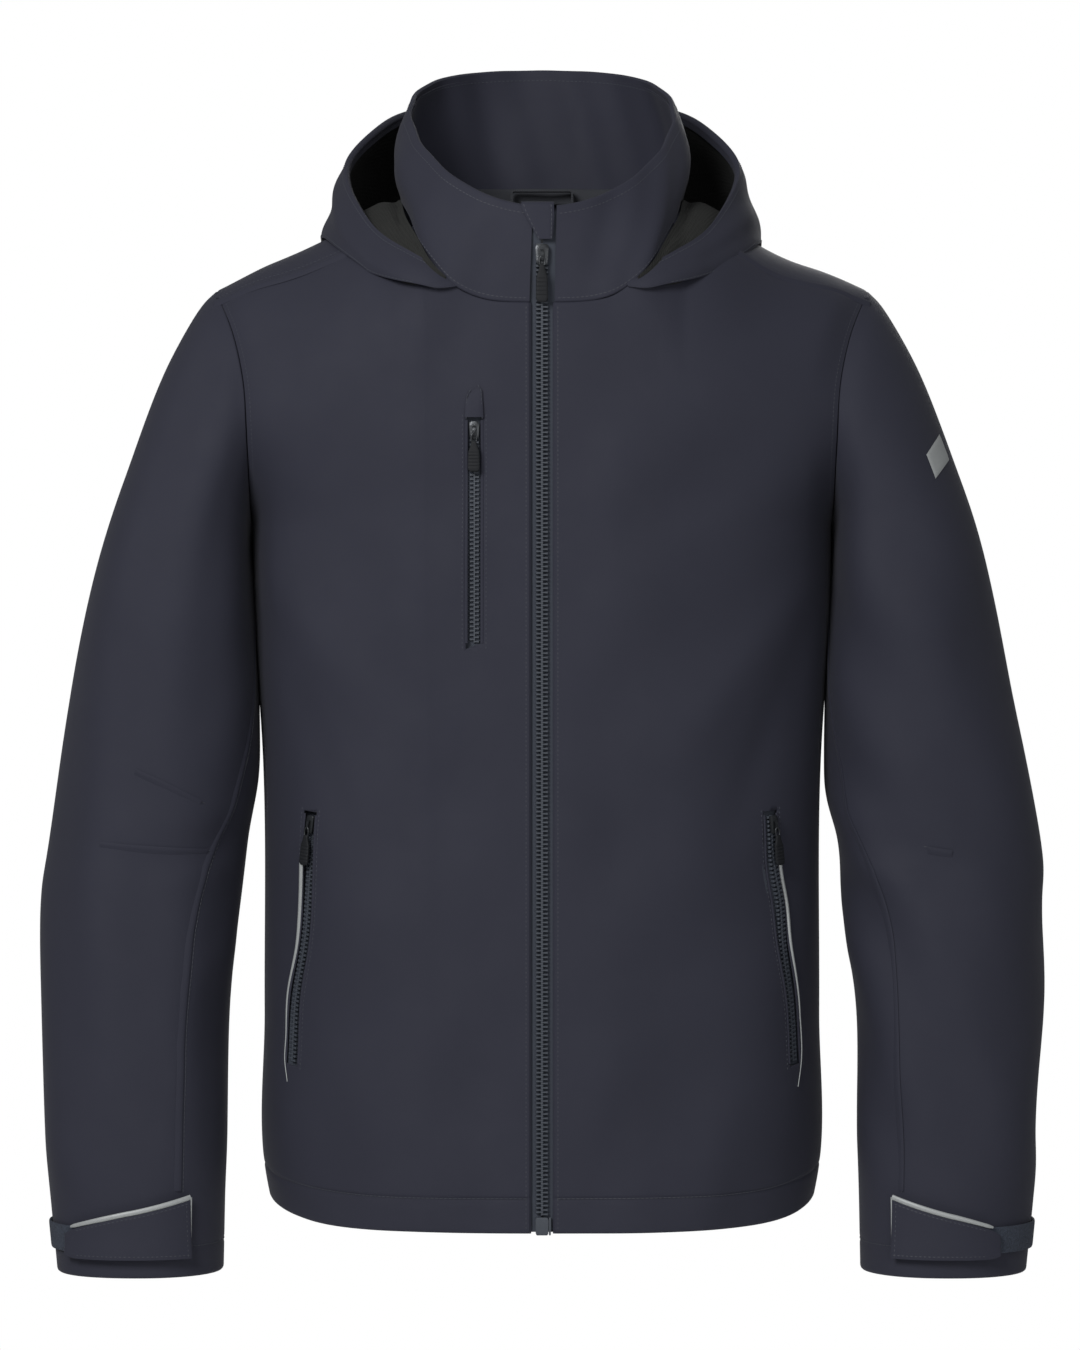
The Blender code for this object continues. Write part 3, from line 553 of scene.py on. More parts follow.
def make_materials():
    """Every material by name. The cloth is dark blue-grey, and only the piping is light."""
    shell = {"Sheen_Weight": 0.04, "Sheen_Roughness": 0.45, "Specular_IOR_Level": 0.3, "mottle": 0.06}
    return {
        "shell_fabric": woven("shell_fabric", (0.0196, 0.0206, 0.0335), 0.74, 0.00045, 0.00005, **shell),
        "lining_fabric": woven("lining_fabric", (0.02, 0.021, 0.024), 0.78, 0.0006, 0.00008),
        # the mesh lining's near-black colour is partly its own and partly painted shade inside the hood and
        # under it
        "mesh_lining": open_mesh("mesh_lining", (0.008, 0.0086, 0.0074)),
        "zip_tape": ribbed("zip_tape", (0.031, 0.037, 0.051), 0.8, 0.0011, 0.0002),
        "zip_teeth": moulded("zip_teeth", (0.036, 0.043, 0.056), 0.6),
        "zip_slider": moulded("zip_slider", (0.035, 0.038, 0.042), 0.3, Metallic=0.6),
        "zip_puller": moulded("zip_puller", (0.01, 0.011, 0.013), 0.65, Specular_IOR_Level=0.2),
        "hook_and_loop": hooked("hook_and_loop", (0.024, 0.03, 0.044)),
        "reflective_piping": beaded("reflective_piping", (0.33, 0.345, 0.345)),
        "loop_tape": ribbed("loop_tape", (0.02, 0.022, 0.028), 0.75, 0.0009, 0.0002),
        "thread": moulded("thread", (0.04, 0.044, 0.056), 0.6),
    }


FINISH = make_materials()


def put(obj, body, replaces=(), bend=None):
    """Puts a finished piece on its CAD body, or if bend is given bakes its transform and leaves it on no
    body, and hides the CAD parts it replaces.
    """
    if bend:
        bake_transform(obj)
    else:
        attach(obj, body)
    if replaces:
        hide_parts(*replaces)
    return obj


# Body panels ------------------------------------------------------------------------------------


def panel_columns(count):
    """Shares across a half panel, with more of them at its edges."""
    return crowded(count, 0.26, (0.012,))


def hem_groove(z, hem_z):
    """How far the row of stitches above the hem pulls the cloth in."""
    return (np.exp(-(((z - hem_z - HEM_DEPTH) / 0.0014) ** 2)) * 0.0007)[..., None]


def front_grid(side):
    """One front, from the zip to the side and from the hem to the yoke seam."""
    hem_side = HEM_Z + HEM_SIDE_RISE
    top_side = SHOULDER_TIP_Z - yoke_drop(SHOULDER_HALF_WIDTH)
    height = top_side - hem_side
    across = 1 - (1 - panel_columns(84)[None, :]) ** 1.35
    climb = crowded(150, height, (HEM_DEPTH / height,))[:, None]
    side_z = hem_side + height * climb
    top_x = ZIP_SLOT + across * (SHOULDER_HALF_WIDTH - ZIP_SLOT)
    top_z = ridge_z(side * top_x) - yoke_drop(top_x)
    top_z = np.where(top_x < NECK_HALF_WIDTH, np.minimum(neckline_z(top_x, False), top_z), top_z)
    low_z = HEM_Z + HEM_SIDE_RISE * np.abs(across) ** HEM_POWER
    z = low_z + (top_z - low_z) * climb
    x = ZIP_SLOT + across * (side_x(side_z) - ZIP_SLOT)
    points, normals = torso_skin(side * x, z, False)
    return points - hem_groove(z, low_z) * normals


def back_grid(low_z, top_z, count, at=()):
    """The whole back between two side heights, from the wearer's right to left."""
    hem_side = HEM_Z + HEM_SIDE_RISE
    across = np.sin(panel_columns(60) * math.pi / 2) ** (2 / 2.4)
    across = np.concatenate([-across[:0:-1], across])[None, :]
    side_z = low_z + (top_z - low_z) * crowded(count, top_z - low_z, at)[:, None]
    climb = (side_z - hem_side) / (SHOULDER_TIP_Z - hem_side)
    top_x = across * SHOULDER_HALF_WIDTH
    rim_z = np.where(np.abs(top_x) < NECK_HALF_WIDTH, neckline_z(top_x, True), ridge_z(top_x))
    hem_z = HEM_Z + HEM_SIDE_RISE * np.abs(across) ** HEM_POWER
    z = hem_z + (rim_z - hem_z) * climb
    points, normals = torso_skin(across * side_x(side_z), z, True)
    return points - hem_groove(z, hem_z) * normals


def yoke_front_grid(side):
    """The strip of the yoke that comes over one shoulder to the front."""
    across = crowded(40, 0.13)[None, :]
    down = crowded(14, 0.02)[:, None]
    x = NECK_HALF_WIDTH - 0.005 * down + across * (SHOULDER_HALF_WIDTH - NECK_HALF_WIDTH + 0.005 * down)
    top = np.minimum(ridge_z(side * x), neckline_z(x, False)) - 1e-5
    z = top + (ridge_z(side * x) - yoke_drop(x) - top) * down
    x = np.minimum(x, side_x(np.minimum(z, SHOULDER_TIP_Z)))
    return torso_skin(side * x, z, False)[0]


def make_body(cutters):
    """The two fronts with their pocket slots, the back and the yoke."""
    for name, side in SIDES.items():
        panel = body_panel(f"front_{name}", front_grid(side))
        cut(panel, cutters[name])
        put(panel, "shell", (f"front_panel_{name}",))
    hem_share = HEM_DEPTH / (YOKE_SEAM_Z - HEM_Z)
    back = body_panel("back", back_grid(HEM_Z + HEM_SIDE_RISE, YOKE_SEAM_Z, 120, (hem_share,)))
    put(back, "shell", ("back_panel",))
    yoke = Mesh()
    for grid, sides in (
        (back_grid(YOKE_SEAM_Z, SHOULDER_TIP_Z, 34), (1, 0, 1, 1)),
        (yoke_front_grid(1), (0, 1, 0, 1)),
        (yoke_front_grid(-1), (0, 1, 0, 1)),
    ):
        normals = inward(grid, TORSO_MIDDLE)
        outer = rolled(grid, normals, sides)
        yoke.add_sheet(outer, outer + CLOTH * normals)
    put(yoke.build("yoke", FINISH["shell_fabric"]), "shell", ("back_yoke",))


def cut(obj, cutters):
    """Takes the cutters' shapes out of obj, and then removes the cutters."""
    for cutter in cutters:
        modifier = obj.modifiers.new("slot", "BOOLEAN")
        modifier.operation = "DIFFERENCE"
        modifier.solver = "EXACT"
        modifier.object = cutter
        bpy.context.view_layer.update()
        graph = bpy.context.evaluated_depsgraph_get()
        mesh = bpy.data.meshes.new_from_object(obj.evaluated_get(graph))
        obj.modifiers.clear()
        obj.data = mesh
        bpy.data.objects.remove(cutter)


def make_body_seams():
    """Lapped seams and rows of stitches over the body's panels."""
    laps, rows = Mesh(), Mesh()
    hem_x = np.linspace(0.012, 0.19, 40)
    hem_z = HEM_Z + HEM_SIDE_RISE * (hem_x / HEM_HALF_WIDTH) ** HEM_POWER + HEM_DEPTH
    shoulder_x = np.linspace(0.1, 0.2328, 30)
    side_z = np.linspace(HEM_Z + 0.02, UNDERARM_Z, 40)
    armhole_z = np.linspace(UNDERARM_Z + 0.01, -0.095, 40)
    for flip in (1, -1):
        for back in (False, True):
            rows_at = [
                (flip * hem_x, hem_z),
                (flip * (side_x(side_z) - 0.004), side_z),
                (flip * (side_x(armhole_z) - 0.0035), armhole_z),
            ]
            if back:
                rows_at.append((flip * np.linspace(0.0, 0.205, 40), np.full(40, YOKE_SEAM_Z - 0.004)))
            else:
                yoke_z = ridge_z(flip * shoulder_x) - yoke_drop(shoulder_x)
                rows_at.append((flip * shoulder_x, yoke_z + 0.003))
                slot_z = np.linspace(HEM_Z + 0.004, NECK_FRONT_Z - 0.004, 60)
                rows_at.append((np.full(60, flip * (ZIP_SLOT + 0.0035)), slot_z))
                path, normals = torso_skin(flip * shoulder_x, yoke_z, False)
                add_lap(laps, path[::flip], normals[::flip], 0.006, 0.0013)
            for x, z in rows_at:
                add_stitches(rows, *torso_skin(x, z, back))
    put(laps.build("yoke_laps", FINISH["shell_fabric"]), "shell")
    put(rows.build("body_stitching", FINISH["thread"]), "shell")


def add_lining(name, grid, node):
    """A sheet of lining whose outer face is the grid."""
    made = Mesh()
    made.add_sheet(grid, grid + LINING * inward(grid, TORSO_MIDDLE))
    put(made.build(name, FINISH["lining_fabric"]), "shell", (node,))


def make_body_linings():
    """The lining inside the body, which stops above the hem and short of the zip."""
    low = HEM_Z + LINING_ABOVE_HEM
    from_zip = 0.014
    from_side = 0.006
    from_armhole = 0.012
    for name, side in SIDES.items():
        across = np.linspace(0, 1, 40)[None, :] ** 0.8
        z = np.linspace(low, -0.088, 70)[:, None]
        x = from_zip + across * (side_x(z) - from_side - from_zip)
        x = np.where(z > UNDERARM_Z, np.minimum(x, side_x(z) - from_armhole), x)
        z = np.minimum(z, neckline_z(x, False) - 0.004)
        add_lining(f"lining_{name}", torso_skin(side * x, z, False, -LINING_INSET)[0], f"lining_front_{name}")
    across = np.sin(np.linspace(-1, 1, 80) * math.pi / 2)[None, :]
    z = np.linspace(low, -0.03, 80)[:, None]
    x = across * np.minimum(side_x(z) - from_side, np.where(z > UNDERARM_Z, side_x(z) - from_armhole, 1.0))
    under_shoulder = 0.15 + 2.2 * np.maximum(0, -0.05 - z)
    x = np.clip(x, -under_shoulder, under_shoulder)
    z = np.minimum(z, ridge_z(x) - 0.006)
    add_lining("lining_of_back", torso_skin(x, z, True, -LINING_INSET)[0], "lining_back")


# Collar -----------------------------------------------------------------------------------------

COLLAR_GAP_ANGLE = math.asin((ZIP_SLOT + 0.0012) / NECK_HALF_WIDTH)
RIM_HALF_WIDTH = 0.0965
RIM_BACK_Y = 0.085
COLLAR_BULGE = 0.008
COLLAR_LIFT = 0.003
COLLAR_THICK = 0.0036

# Hanger loop: half its length, half its width, its height, its thickness and the bend at each end
LOOP_HALF = 0.023
LOOP_WIDE = 0.0035
LOOP_FOOT = 0.0125
LOOP_THICK = 0.0015
LOOP_BEND = 0.003


def collar_point(angle, climb, inset=0.0):
    """angle is 0 at the zip and pi at the back; climb is 0 at the neck seam and 1 at the rim."""
    angle, climb = np.broadcast_arrays(angle, climb)
    x = NECK_HALF_WIDTH * np.sin(angle)
    back = np.cos(angle) < 0
    z = np.where(back, neckline_z(x, True), neckline_z(x, False))
    y = np.where(back, torso_y(x, z, True), torso_y(x, z, False))
    base = np.stack([x, y, z + COLLAR_LIFT * smoothstep(climb * 8)], axis=-1)
    reach = (RIM_BACK_Y + FRONT_DEPTH_AT_COLLAR) / 2
    rim_x = RIM_HALF_WIDTH * np.sin(angle) + ZIP_SLOT * 0.25 * np.cos(angle)
    rim_y = (RIM_BACK_Y - FRONT_DEPTH_AT_COLLAR) / 2 - reach * np.cos(angle)
    behind = ((1 - np.cos(angle)) / 2) ** 2
    rim_z = 0.035 - 0.062 * np.cos(angle) - 0.009 * np.cos(2 * angle) - 0.0022 * behind
    rim = np.stack([rim_x, rim_y, rim_z], axis=-1)
    outward = np.stack([np.sin(angle), -np.cos(angle), np.zeros_like(angle)], axis=-1)
    swell = COLLAR_BULGE * 4 * climb * (1 - climb) * np.sin(angle) ** 2
    drape = 0.0011 * np.sin(9 * angle + 1.2) * np.sin(math.pi * climb)
    drape = drape + 0.0007 * np.sin(17 * angle - 4 * climb)
    drape = drape * smoothstep((np.sin(angle / 2) - 0.05) / 0.25)
    return base + (rim - base) * climb[..., None] + outward * (swell + drape - inset)[..., None]


def collar_angles(count, gap=COLLAR_GAP_ANGLE):
    """From beside the zip on the wearer's left, round the back, to beside it on the right."""
    return gap + (2 * math.pi - 2 * gap) * crowded(count, 0.55)


def make_collar():
    """The collar: its outer layer, turned over the rim and down the inside, its lining and stitches."""
    angles = collar_angles(150)[None, :]
    climb = crowded(34, 0.1, (0.93,))[:, None]
    outer = collar_point(angles, climb)
    inner = collar_point(angles, climb, COLLAR_THICK)
    rim_round = np.cos(np.linspace(-1, 1, 7) * math.pi / 2)[:, None, None] * 0.0016
    share = np.linspace(0, 1, 7)[:, None, None]
    over = outer[-1] * (1 - share) + inner[-1] * share + rim_round * UP
    facing = inner[::-1][: len(climb) // 4]
    skin = np.concatenate([outer, over[1:-1], facing])
    skin[:3] += np.array([0.0009, 0.0003, 0.0001])[:, None, None] * inward(outer, NECK_MIDDLE)[:3]
    away = -grid_normals(skin)
    away *= np.sign(np.sum(away[0] * (NECK_MIDDLE - skin[0])))
    shell = Mesh()
    shell.add_sheet(skin, skin + 0.0011 * away)
    put(shell.build("collar", FINISH["shell_fabric"]), "shell", ("collar_outer",))
    make_collar_lining()
    make_collar_stitching()


def make_collar_lining():
    """The collar's inner layer, from beside the neck seam to under the outer layer's turned edge."""
    climb = np.linspace(0.02, 0.955, 40)[:, None]
    wall = collar_point(collar_angles(150, 0.16)[None, :], climb, COLLAR_THICK + 0.0006)
    lining = Mesh()
    lining.add_sheet(wall, wall + LINING * inward(wall, NECK_MIDDLE))
    put(lining.build("collar_inside", FINISH["shell_fabric"]), "shell", ("collar_lining",))


def make_collar_stitching():
    """Rows of stitches below the rim, outside and inside, and above the neck seam."""
    rows = Mesh()
    for climb, inset, out in ((0.93, -0.0001, 1), (0.93, COLLAR_THICK + 0.0016, -1), (0.035, -0.0001, 1)):
        path = collar_point(collar_angles(120)[3:-3], np.full(1, climb), inset)
        outward = (path - NECK_MIDDLE) * (1, 1, 0)
        add_stitches(rows, path, outward * out)
    put(rows.build("collar_stitching", FINISH["thread"]), "shell")


def make_neck_binding():
    """The narrow tape that covers the neck seam inside, with the hanger loop sewn to it."""
    angles = np.linspace(0.5, 2 * math.pi - 0.5, 90)
    path = collar_point(angles, np.full(1, 0.035), COLLAR_THICK + 0.0035)
    path, normals, travel = resampled(path, (NECK_MIDDLE - path) * (1, 1, 0), 0.004)
    made = Mesh()
    profile = [(-0.006, 0), (-0.005, 0.0011), (0, 0.0014), (0.005, 0.0011), (0.006, 0), (0, -0.0004)]
    made.add_bar(path, np.cross(travel, normals), normals, profile)
    return put(made.build("neck_binding", FINISH["loop_tape"]), "shell")


def make_hanger_loop():
    """A flat tape, folded down at both ends and sewn to the neck seam; its underside is the seat."""
    across = np.array([-LOOP_WIDE, -LOOP_WIDE + 0.0006, 0, LOOP_WIDE - 0.0006, LOOP_WIDE])
    corner = np.linspace(0, math.pi / 2, 7)
    grids = []
    for inset in (0.0, LOOP_THICK):
        radius = LOOP_BEND - inset
        left = [(-LOOP_HALF + inset, -LOOP_FOOT)]
        for a in corner:
            x = -LOOP_HALF + LOOP_BEND - radius * math.cos(a)
            left.append((x, LOOP_THICK - LOOP_BEND + radius * math.sin(a)))
        outline = left + [(-x, z) for x, z in left[::-1]]
        grids.append(np.array([[(x, y, z) for y in across] for x, z in outline]) + LOOP_SEAT)
    made = Mesh()
    made.add_sheet(*grids)
    return put(made.build("hanger_tape", FINISH["loop_tape"]), "shell", ("hanger_loop",))


# Hood: its foot and its rim as (degrees from the front, distance from the garment's middle, height) --

HOOD_TIP = 28
HOOD_FOOT = (
    (28, 0.1265, -0.0905),
    (32, 0.134, -0.0918),
    (38, 0.14, -0.0888),
    (53, 0.1465, -0.08),
    (69, 0.155, -0.064),
    (90, 0.1585, -0.05),
    (112, 0.163, -0.068),
    (135, 0.167, -0.096),
    (180, 0.166, -0.13),
)
HOOD_RIM = (
    (28, 0.126, -0.0885),
    (35, 0.1295, -0.0765),
    (43, 0.132, -0.0668),
    (58, 0.1365, -0.0485),
    (69, 0.139, -0.029),
    (90, 0.143, 0.006),
    (112, 0.136, 0.038),
    (134, 0.14, 0.058),
    (180, 0.135, 0.062),
)
HOOD_SWELL = ((28, 0.0), (50, 0.002), (85, -0.0015), (112, 0.002), (150, 0.01))
HOOD_GORE = 142
SKIRT_START = 31
SKIRT_SECTORS = 10


def shoulder_under(x, y):
    """The height of the torso's surface under a place, by halving the range; -1 m off the shoulders."""
    low, high = ridge_z(x) - 0.13, ridge_z(x)
    for _ in range(24):
        middle = (low + high) / 2
        reach = np.where(y > 0, torso_y(x, middle, True), -torso_y(x, middle, False))
        low, high = np.where(reach > np.abs(y), middle, low), np.where(reach > np.abs(y), high, middle)
    found = low > ridge_z(x) - 0.1299
    neckline = np.where(y > 0, neckline_z(x, True), neckline_z(x, False))
    low = np.where(np.abs(x) < NECK_HALF_WIDTH, np.minimum(low, neckline), low)
    return np.where(found, low, -1.0)


def hood_point(degrees, share, inset=0.0):
    """A place on the folded hood's wall, `inset` metres inside it.

    degrees are from the front, minus to the wearer's right; share is 0 at the foot and 1 at the rim.
    """
    degrees, share = np.broadcast_arrays(np.asarray(degrees, float), np.asarray(share, float))
    size = np.abs(degrees)
    foot_r = smooth_curve([(a, r) for a, r, _ in HOOD_FOOT], size)
    foot_z = smooth_curve([(a, z) for a, _, z in HOOD_FOOT], size)
    rim_r = smooth_curve([(a, r) for a, r, _ in HOOD_RIM], size)
    rim_z = smooth_curve([(a, z) for a, _, z in HOOD_RIM], size)
    grown = smoothstep((size - HOOD_TIP) / 60)
    swell = np.interp(size, *zip(*HOOD_SWELL)) * np.sin(math.pi * share)
    a = np.radians(degrees)
    under = shoulder_under(foot_r * np.sin(a), -foot_r * np.cos(a))
    foot_z = np.maximum(foot_z, under + 0.0025)
    behind = smoothstep((size - 75) / 60)
    slump = 0.0035 * np.sin(2 * math.pi * (share * 1.7 + 0.1 * np.sin(3 * np.radians(degrees))))
    puckers = 0.0016 * np.sin(np.radians(degrees) * 11 + 5 * share) * np.sin(math.pi * share)
    gore = -0.0016 * np.exp(-(((size - HOOD_GORE) / 0.9) ** 2))
    r = foot_r + (rim_r - foot_r) * share**1.4 + swell + behind * (slump + puckers) + gore * behind
    r = r + 0.0012 * grown * np.sin(math.pi * share) * np.sin(np.radians(degrees) * 7 + 9 * share) - inset
    z = foot_z + (rim_z - foot_z) * share
    return np.stack([r * np.sin(a), -r * np.cos(a), z], axis=-1)


def hood_degrees(count):
    """Places round the hood from its right tip, behind the neck, to its left tip."""
    half = HOOD_TIP + (180 - HOOD_TIP) * crowded(count, 0.3)
    half = np.unique(np.concatenate([half, HOOD_GORE + np.array([-2.4, -1.2, -0.5, 0, 0.5, 1.2, 2.4])]))
    return np.concatenate([-half, half[-2::-1]])


def make_hood():
    """The hood's wall with its rim turned in and its foot tucked under, then the mesh and the skirt."""
    degrees = hood_degrees(90)[None, :]
    share = crowded(46, 0.15)[:, None]
    wall = hood_point(degrees, share)
    grown = smoothstep((np.abs(degrees) - HOOD_TIP) / 14)[..., None]
    toward = inward(wall, NECK_MIDDLE)
    turn = np.linspace(0, math.pi, 9)[1:, None, None]
    radius = 0.0016 + 0.0008 * grown
    over = wall[-1] + radius * (toward[-1] * (1 - np.cos(turn)) + UP * np.sin(turn))
    drop = np.array([0.001, 0.002, 0.0035, 0.005])[:, None, None] * grown
    facing = over[-1] - UP * drop - 0.0004 * toward[-1]
    tuck = np.linspace(0, math.pi * 0.5, 7)[1:, None, None]
    fold = 0.0065 * grown + 0.001
    under = wall[0] + fold * (toward[0] * np.sin(tuck) * 1.6 - UP * (1 - np.cos(tuck)) * 0.35)
    skin = np.concatenate([under[::-1], wall, over, facing])
    add_hood_layer("hood_cloth", skin, 0.001, "shell_fabric", "hood_shell")
    make_hood_stitching()
    make_hood_lining()
    make_hood_skirt()


def add_hood_layer(name, grid, thickness, finish, node):
    """A layer of the hood, thickened to the side that faces the neck on a row part way up the wall."""
    normals = grid_normals(grid)
    normals *= np.sign(np.sum(normals[15] * (NECK_MIDDLE - grid[15])))
    made = Mesh()
    made.add_sheet(grid, grid + thickness * normals)
    put(made.build(name, FINISH[finish]), "hood", (node,))


def make_hood_stitching():
    """Rows of stitches below the rim, above the foot and beside each gore's seam."""
    rows = Mesh()
    for side in (1, -1):
        below_rim = (side * np.linspace(36, 180, 80), 0.945)
        above_foot = (side * np.linspace(40, 180, 80), 0.05)
        by_gore = (side * (HOOD_GORE - 1.6), np.linspace(0.06, 0.93, 50))
        for degrees, share in (below_rim, above_foot, by_gore):
            path = hood_point(degrees, share, -0.0002)
            add_stitches(rows, path, path * (1, 1, 0))
    put(rows.build("hood_stitching", FINISH["thread"]), "hood")


def make_hood_lining():
    """Mesh lining down the inside of the wall, from the rim's facing to the foot. Its dark colour is partly
    its own and partly painted shade.
    """
    degrees = np.concatenate([-np.linspace(31, 180, 90), np.linspace(180, 31, 90)[1:]])[None, :]
    share = np.linspace(0.985, 0.1, 34)[:, None]
    grid = hood_point(degrees, share, 0.0036 + 0.0022 * smoothstep((1 - share) / 0.2))
    grid[..., 2] -= 0.0015
    add_hood_layer("hood_mesh", grid, 0.0008, "mesh_lining", "hood_lining")


def make_hood_skirt():
    """The cloth between the neck seam and the hood's foot, in sectors that each stretch outwards."""
    inner_r, outer_r = 0.112, 0.139
    span = 2 * (180 - SKIRT_START) / SKIRT_SECTORS
    seam = collar_point(np.linspace(0, math.pi, 200), np.full(1, 0.02), -0.0015)
    seam_at = np.degrees(np.arctan2(np.abs(seam[:, 0]), -seam[:, 1]))
    seam_r = np.hypot(seam[:, 0], seam[:, 1])
    for sector in range(SKIRT_SECTORS):
        first = SKIRT_START + span * sector
        degrees = np.linspace(first, first + span, 24)
        size = np.minimum(degrees, 360 - degrees)
        a = np.radians(degrees)
        foot = hood_point(size, 0.0, 0.006)
        foot_r = np.hypot(foot[:, 0], foot[:, 1])
        neck_r = np.interp(size, seam_at, seam_r)
        neck_z = np.interp(size, seam_at, seam[:, 2])
        t = np.linspace(0, 1, 14)[:, None]
        r = neck_r + (foot_r - neck_r) * t
        z = neck_z + (foot[:, 2] - 0.0015 - neck_z) * t ** (1 + smoothstep((size - 90) / 60))
        x, y = r * np.sin(a), -r * np.cos(a)
        clear = 0.0065 * smoothstep((size - SKIRT_START) / 14) * smoothstep(t / 0.3)
        z = np.maximum(z, shoulder_under(x, y) + 0.0005 + clear)
        grid = np.stack([x, y, z], axis=-1)
        made = Mesh()
        made.add_sheet(grid, grid - 0.001 * UP)
        middle = math.radians(first + span / 2)
        way = np.array([math.sin(middle), -math.cos(middle), 0.0])
        start, end = way * inner_r - LOOP_SEAT, way * outer_r - LOOP_SEAT
        skirt = made.build(f"hood_skirt_{sector + 1}", FINISH["mesh_lining"])
        put(skirt, None, bend=("shell", "hood", start, end))


# Sleeves: the outer and inner outlines as (t, x, z), with t 0 at the armhole, 1 at the elbow and 2 at
# the cuff. Depth is half the sleeve's size front to back, and forward is where its middle is --------

SLEEVE_OUTER = (
    (0.0, 0.2337, -0.0836),
    (0.06, 0.2438, -0.0946),
    (0.16, 0.2665, -0.133),
    (0.35, 0.2988, -0.2196),
    (0.58, 0.3242, -0.31),
    (0.8, 0.3427, -0.4),
    (1.0, 0.3537, ELBOW_Z),
    (1.2, 0.3571, -0.522),
    (1.45, 0.3562, -0.6),
    (1.7, 0.3522, -0.689),
    (2.0, 0.3435, CUFF_Z + 0.004),
)
SLEEVE_INNER = (
    (0.0, 0.2062, UNDERARM_Z),
    (0.06, 0.2073, -0.266),
    (0.16, 0.2062, -0.285),
    (0.35, 0.2048, -0.33),
    (0.58, 0.2024, -0.385),
    (0.8, 0.203, -0.436),
    (1.0, 0.2105, ELBOW_Z + 0.003),
    (1.2, 0.2155, -0.522),
    (1.45, 0.222, -0.6),
    (1.7, 0.2246, -0.689),
    (2.0, 0.2262, CUFF_Z + 0.004),
)
SLEEVE_DEPTH = ((0.0, 0.08), (0.35, 0.077), (0.7, 0.072), (1.0, 0.068), (1.5, 0.062), (2.0, 0.053))
SLEEVE_FORWARD = ((0.0, -0.002), (0.25, -0.012), (0.5, -0.016), (1.0, -0.02), (1.5, -0.032), (2.0, -0.042))
SLEEVE_SPLIT = 0.74  # the seam between the upper sleeve and the forearm, above the elbow
SLEEVE_HEM = 1.93
SLEEVE_SEED = {1: 21, -1: 34}

# Folds on the sleeve: (t, degrees) at both ends, width as a share of a turn and of t, and height
SLEEVE_FOLDS = (
    ((0.22, 150), (0.62, 60), 0.05, 0.0028),
    ((0.34, 160), (0.8, 95), 0.045, -0.0024),
    ((0.86, 175), (0.98, 80), 0.035, 0.0026),
    ((1.06, 178), (1.12, 95), 0.035, 0.0022),
    ((1.3, 185), (1.36, 120), 0.03, 0.002),
    ((1.62, 180), (1.55, 110), 0.03, 0.0018),
    ((0.98, 300), (1.05, 220), 0.05, 0.003),
    ((1.5, 60), (1.9, 30), 0.06, 0.0018),
)

# Seams and darts on the sleeves: t and degrees along each. The two forearms' darts aren't alike
UPPER_SEAMS = (([0.02, 0.3, SLEEVE_SPLIT], [186, 176, 152]),)
INSEAM = ([SLEEVE_SPLIT, 0.9, 1.08, 1.27, 1.5, 1.8], [152, 145, 131, 125, 123, 122])
LOWER_SEAMS = {
    1: (INSEAM, ([1.0, 1.008], [98, 87])),
    -1: (INSEAM, ([0.985, 1.0, 1.012], [70, 100, 130]), ([0.83, 0.85, 0.875], [84, 102, 120])),
}


def armhole_ring(angle):
    """The armhole seam, from the shoulder (angle 0) down the front to the underarm and up the back."""
    turn = np.mod(angle, 2 * math.pi)
    share = np.abs(1 - turn / math.pi)
    z = UNDERARM_Z + (SHOULDER_TIP_Z - UNDERARM_Z) * (1 - np.cos(math.pi * share)) / 2
    x = side_x(z)
    y = np.where(turn > math.pi, torso_y(x, z, True), torso_y(x, z, False))
    return np.stack([x, y, z], axis=-1)


def sleeve_section(t, angle):
    """A place on the plain tube: angle is 0 on the outside of the arm and a quarter turn in front."""
    t, angle = np.broadcast_arrays(np.asarray(t, float), np.asarray(angle, float))
    outer = [smooth_curve([(p[0], p[i]) for p in SLEEVE_OUTER], t) for i in (1, 2)]
    inner = [smooth_curve([(p[0], p[i]) for p in SLEEVE_INNER], t) for i in (1, 2)]
    c, s = np.cos(angle), np.sin(angle)
    across = np.sign(c) * np.abs(c) ** 0.92
    forward = np.sign(s) * np.abs(s) ** 0.92
    x, z = [(o + i) / 2 + (o - i) / 2 * across for o, i in zip(outer, inner)]
    y = smooth_curve(SLEEVE_FORWARD, t) - smooth_curve(SLEEVE_DEPTH, t) * forward
    return np.stack([x, y, z], axis=-1)


def sleeve_middle(t):
    """The middle of the sleeve at each t."""
    return (sleeve_section(t, 0.0) + sleeve_section(t, math.pi)) / 2


def sleeve_smooth(t, angle):
    """The tube, joined at its top to the armhole."""
    fade = np.maximum(0, 1 - t / 0.55) ** 2
    joined = (armhole_ring(angle) - sleeve_section(0.0, angle)) * fade[..., None]
    return sleeve_section(t, angle) + joined


def sleeve_height(t, angle, seed):
    """How far the sleeve's cloth stands off the smooth tube."""
    turn = np.mod(angle, 2 * math.pi) / (2 * math.pi)
    space = np.stack([0.12 * np.cos(angle), 0.12 * np.sin(angle), 0.3 * t], axis=-1)
    height = waves(space, seed, 0.002, 0.08, 0.22)
    for start, end, width, rise in SLEEVE_FOLDS:
        ends = [(degrees / 360, at * 0.5) for at, degrees in (start, end)]
        height = height + crease(turn, t * 0.5, *ends, width, rise)
    by_body = np.exp(-(((turn - 0.5) * 360 / 28) ** 2)) * smoothstep((0.95 - t) / 0.3)
    return height * smoothstep(t / 0.12) * (0.1 + 0.9 * smoothstep((1.84 - t) / 0.16)) * (1 - by_body)


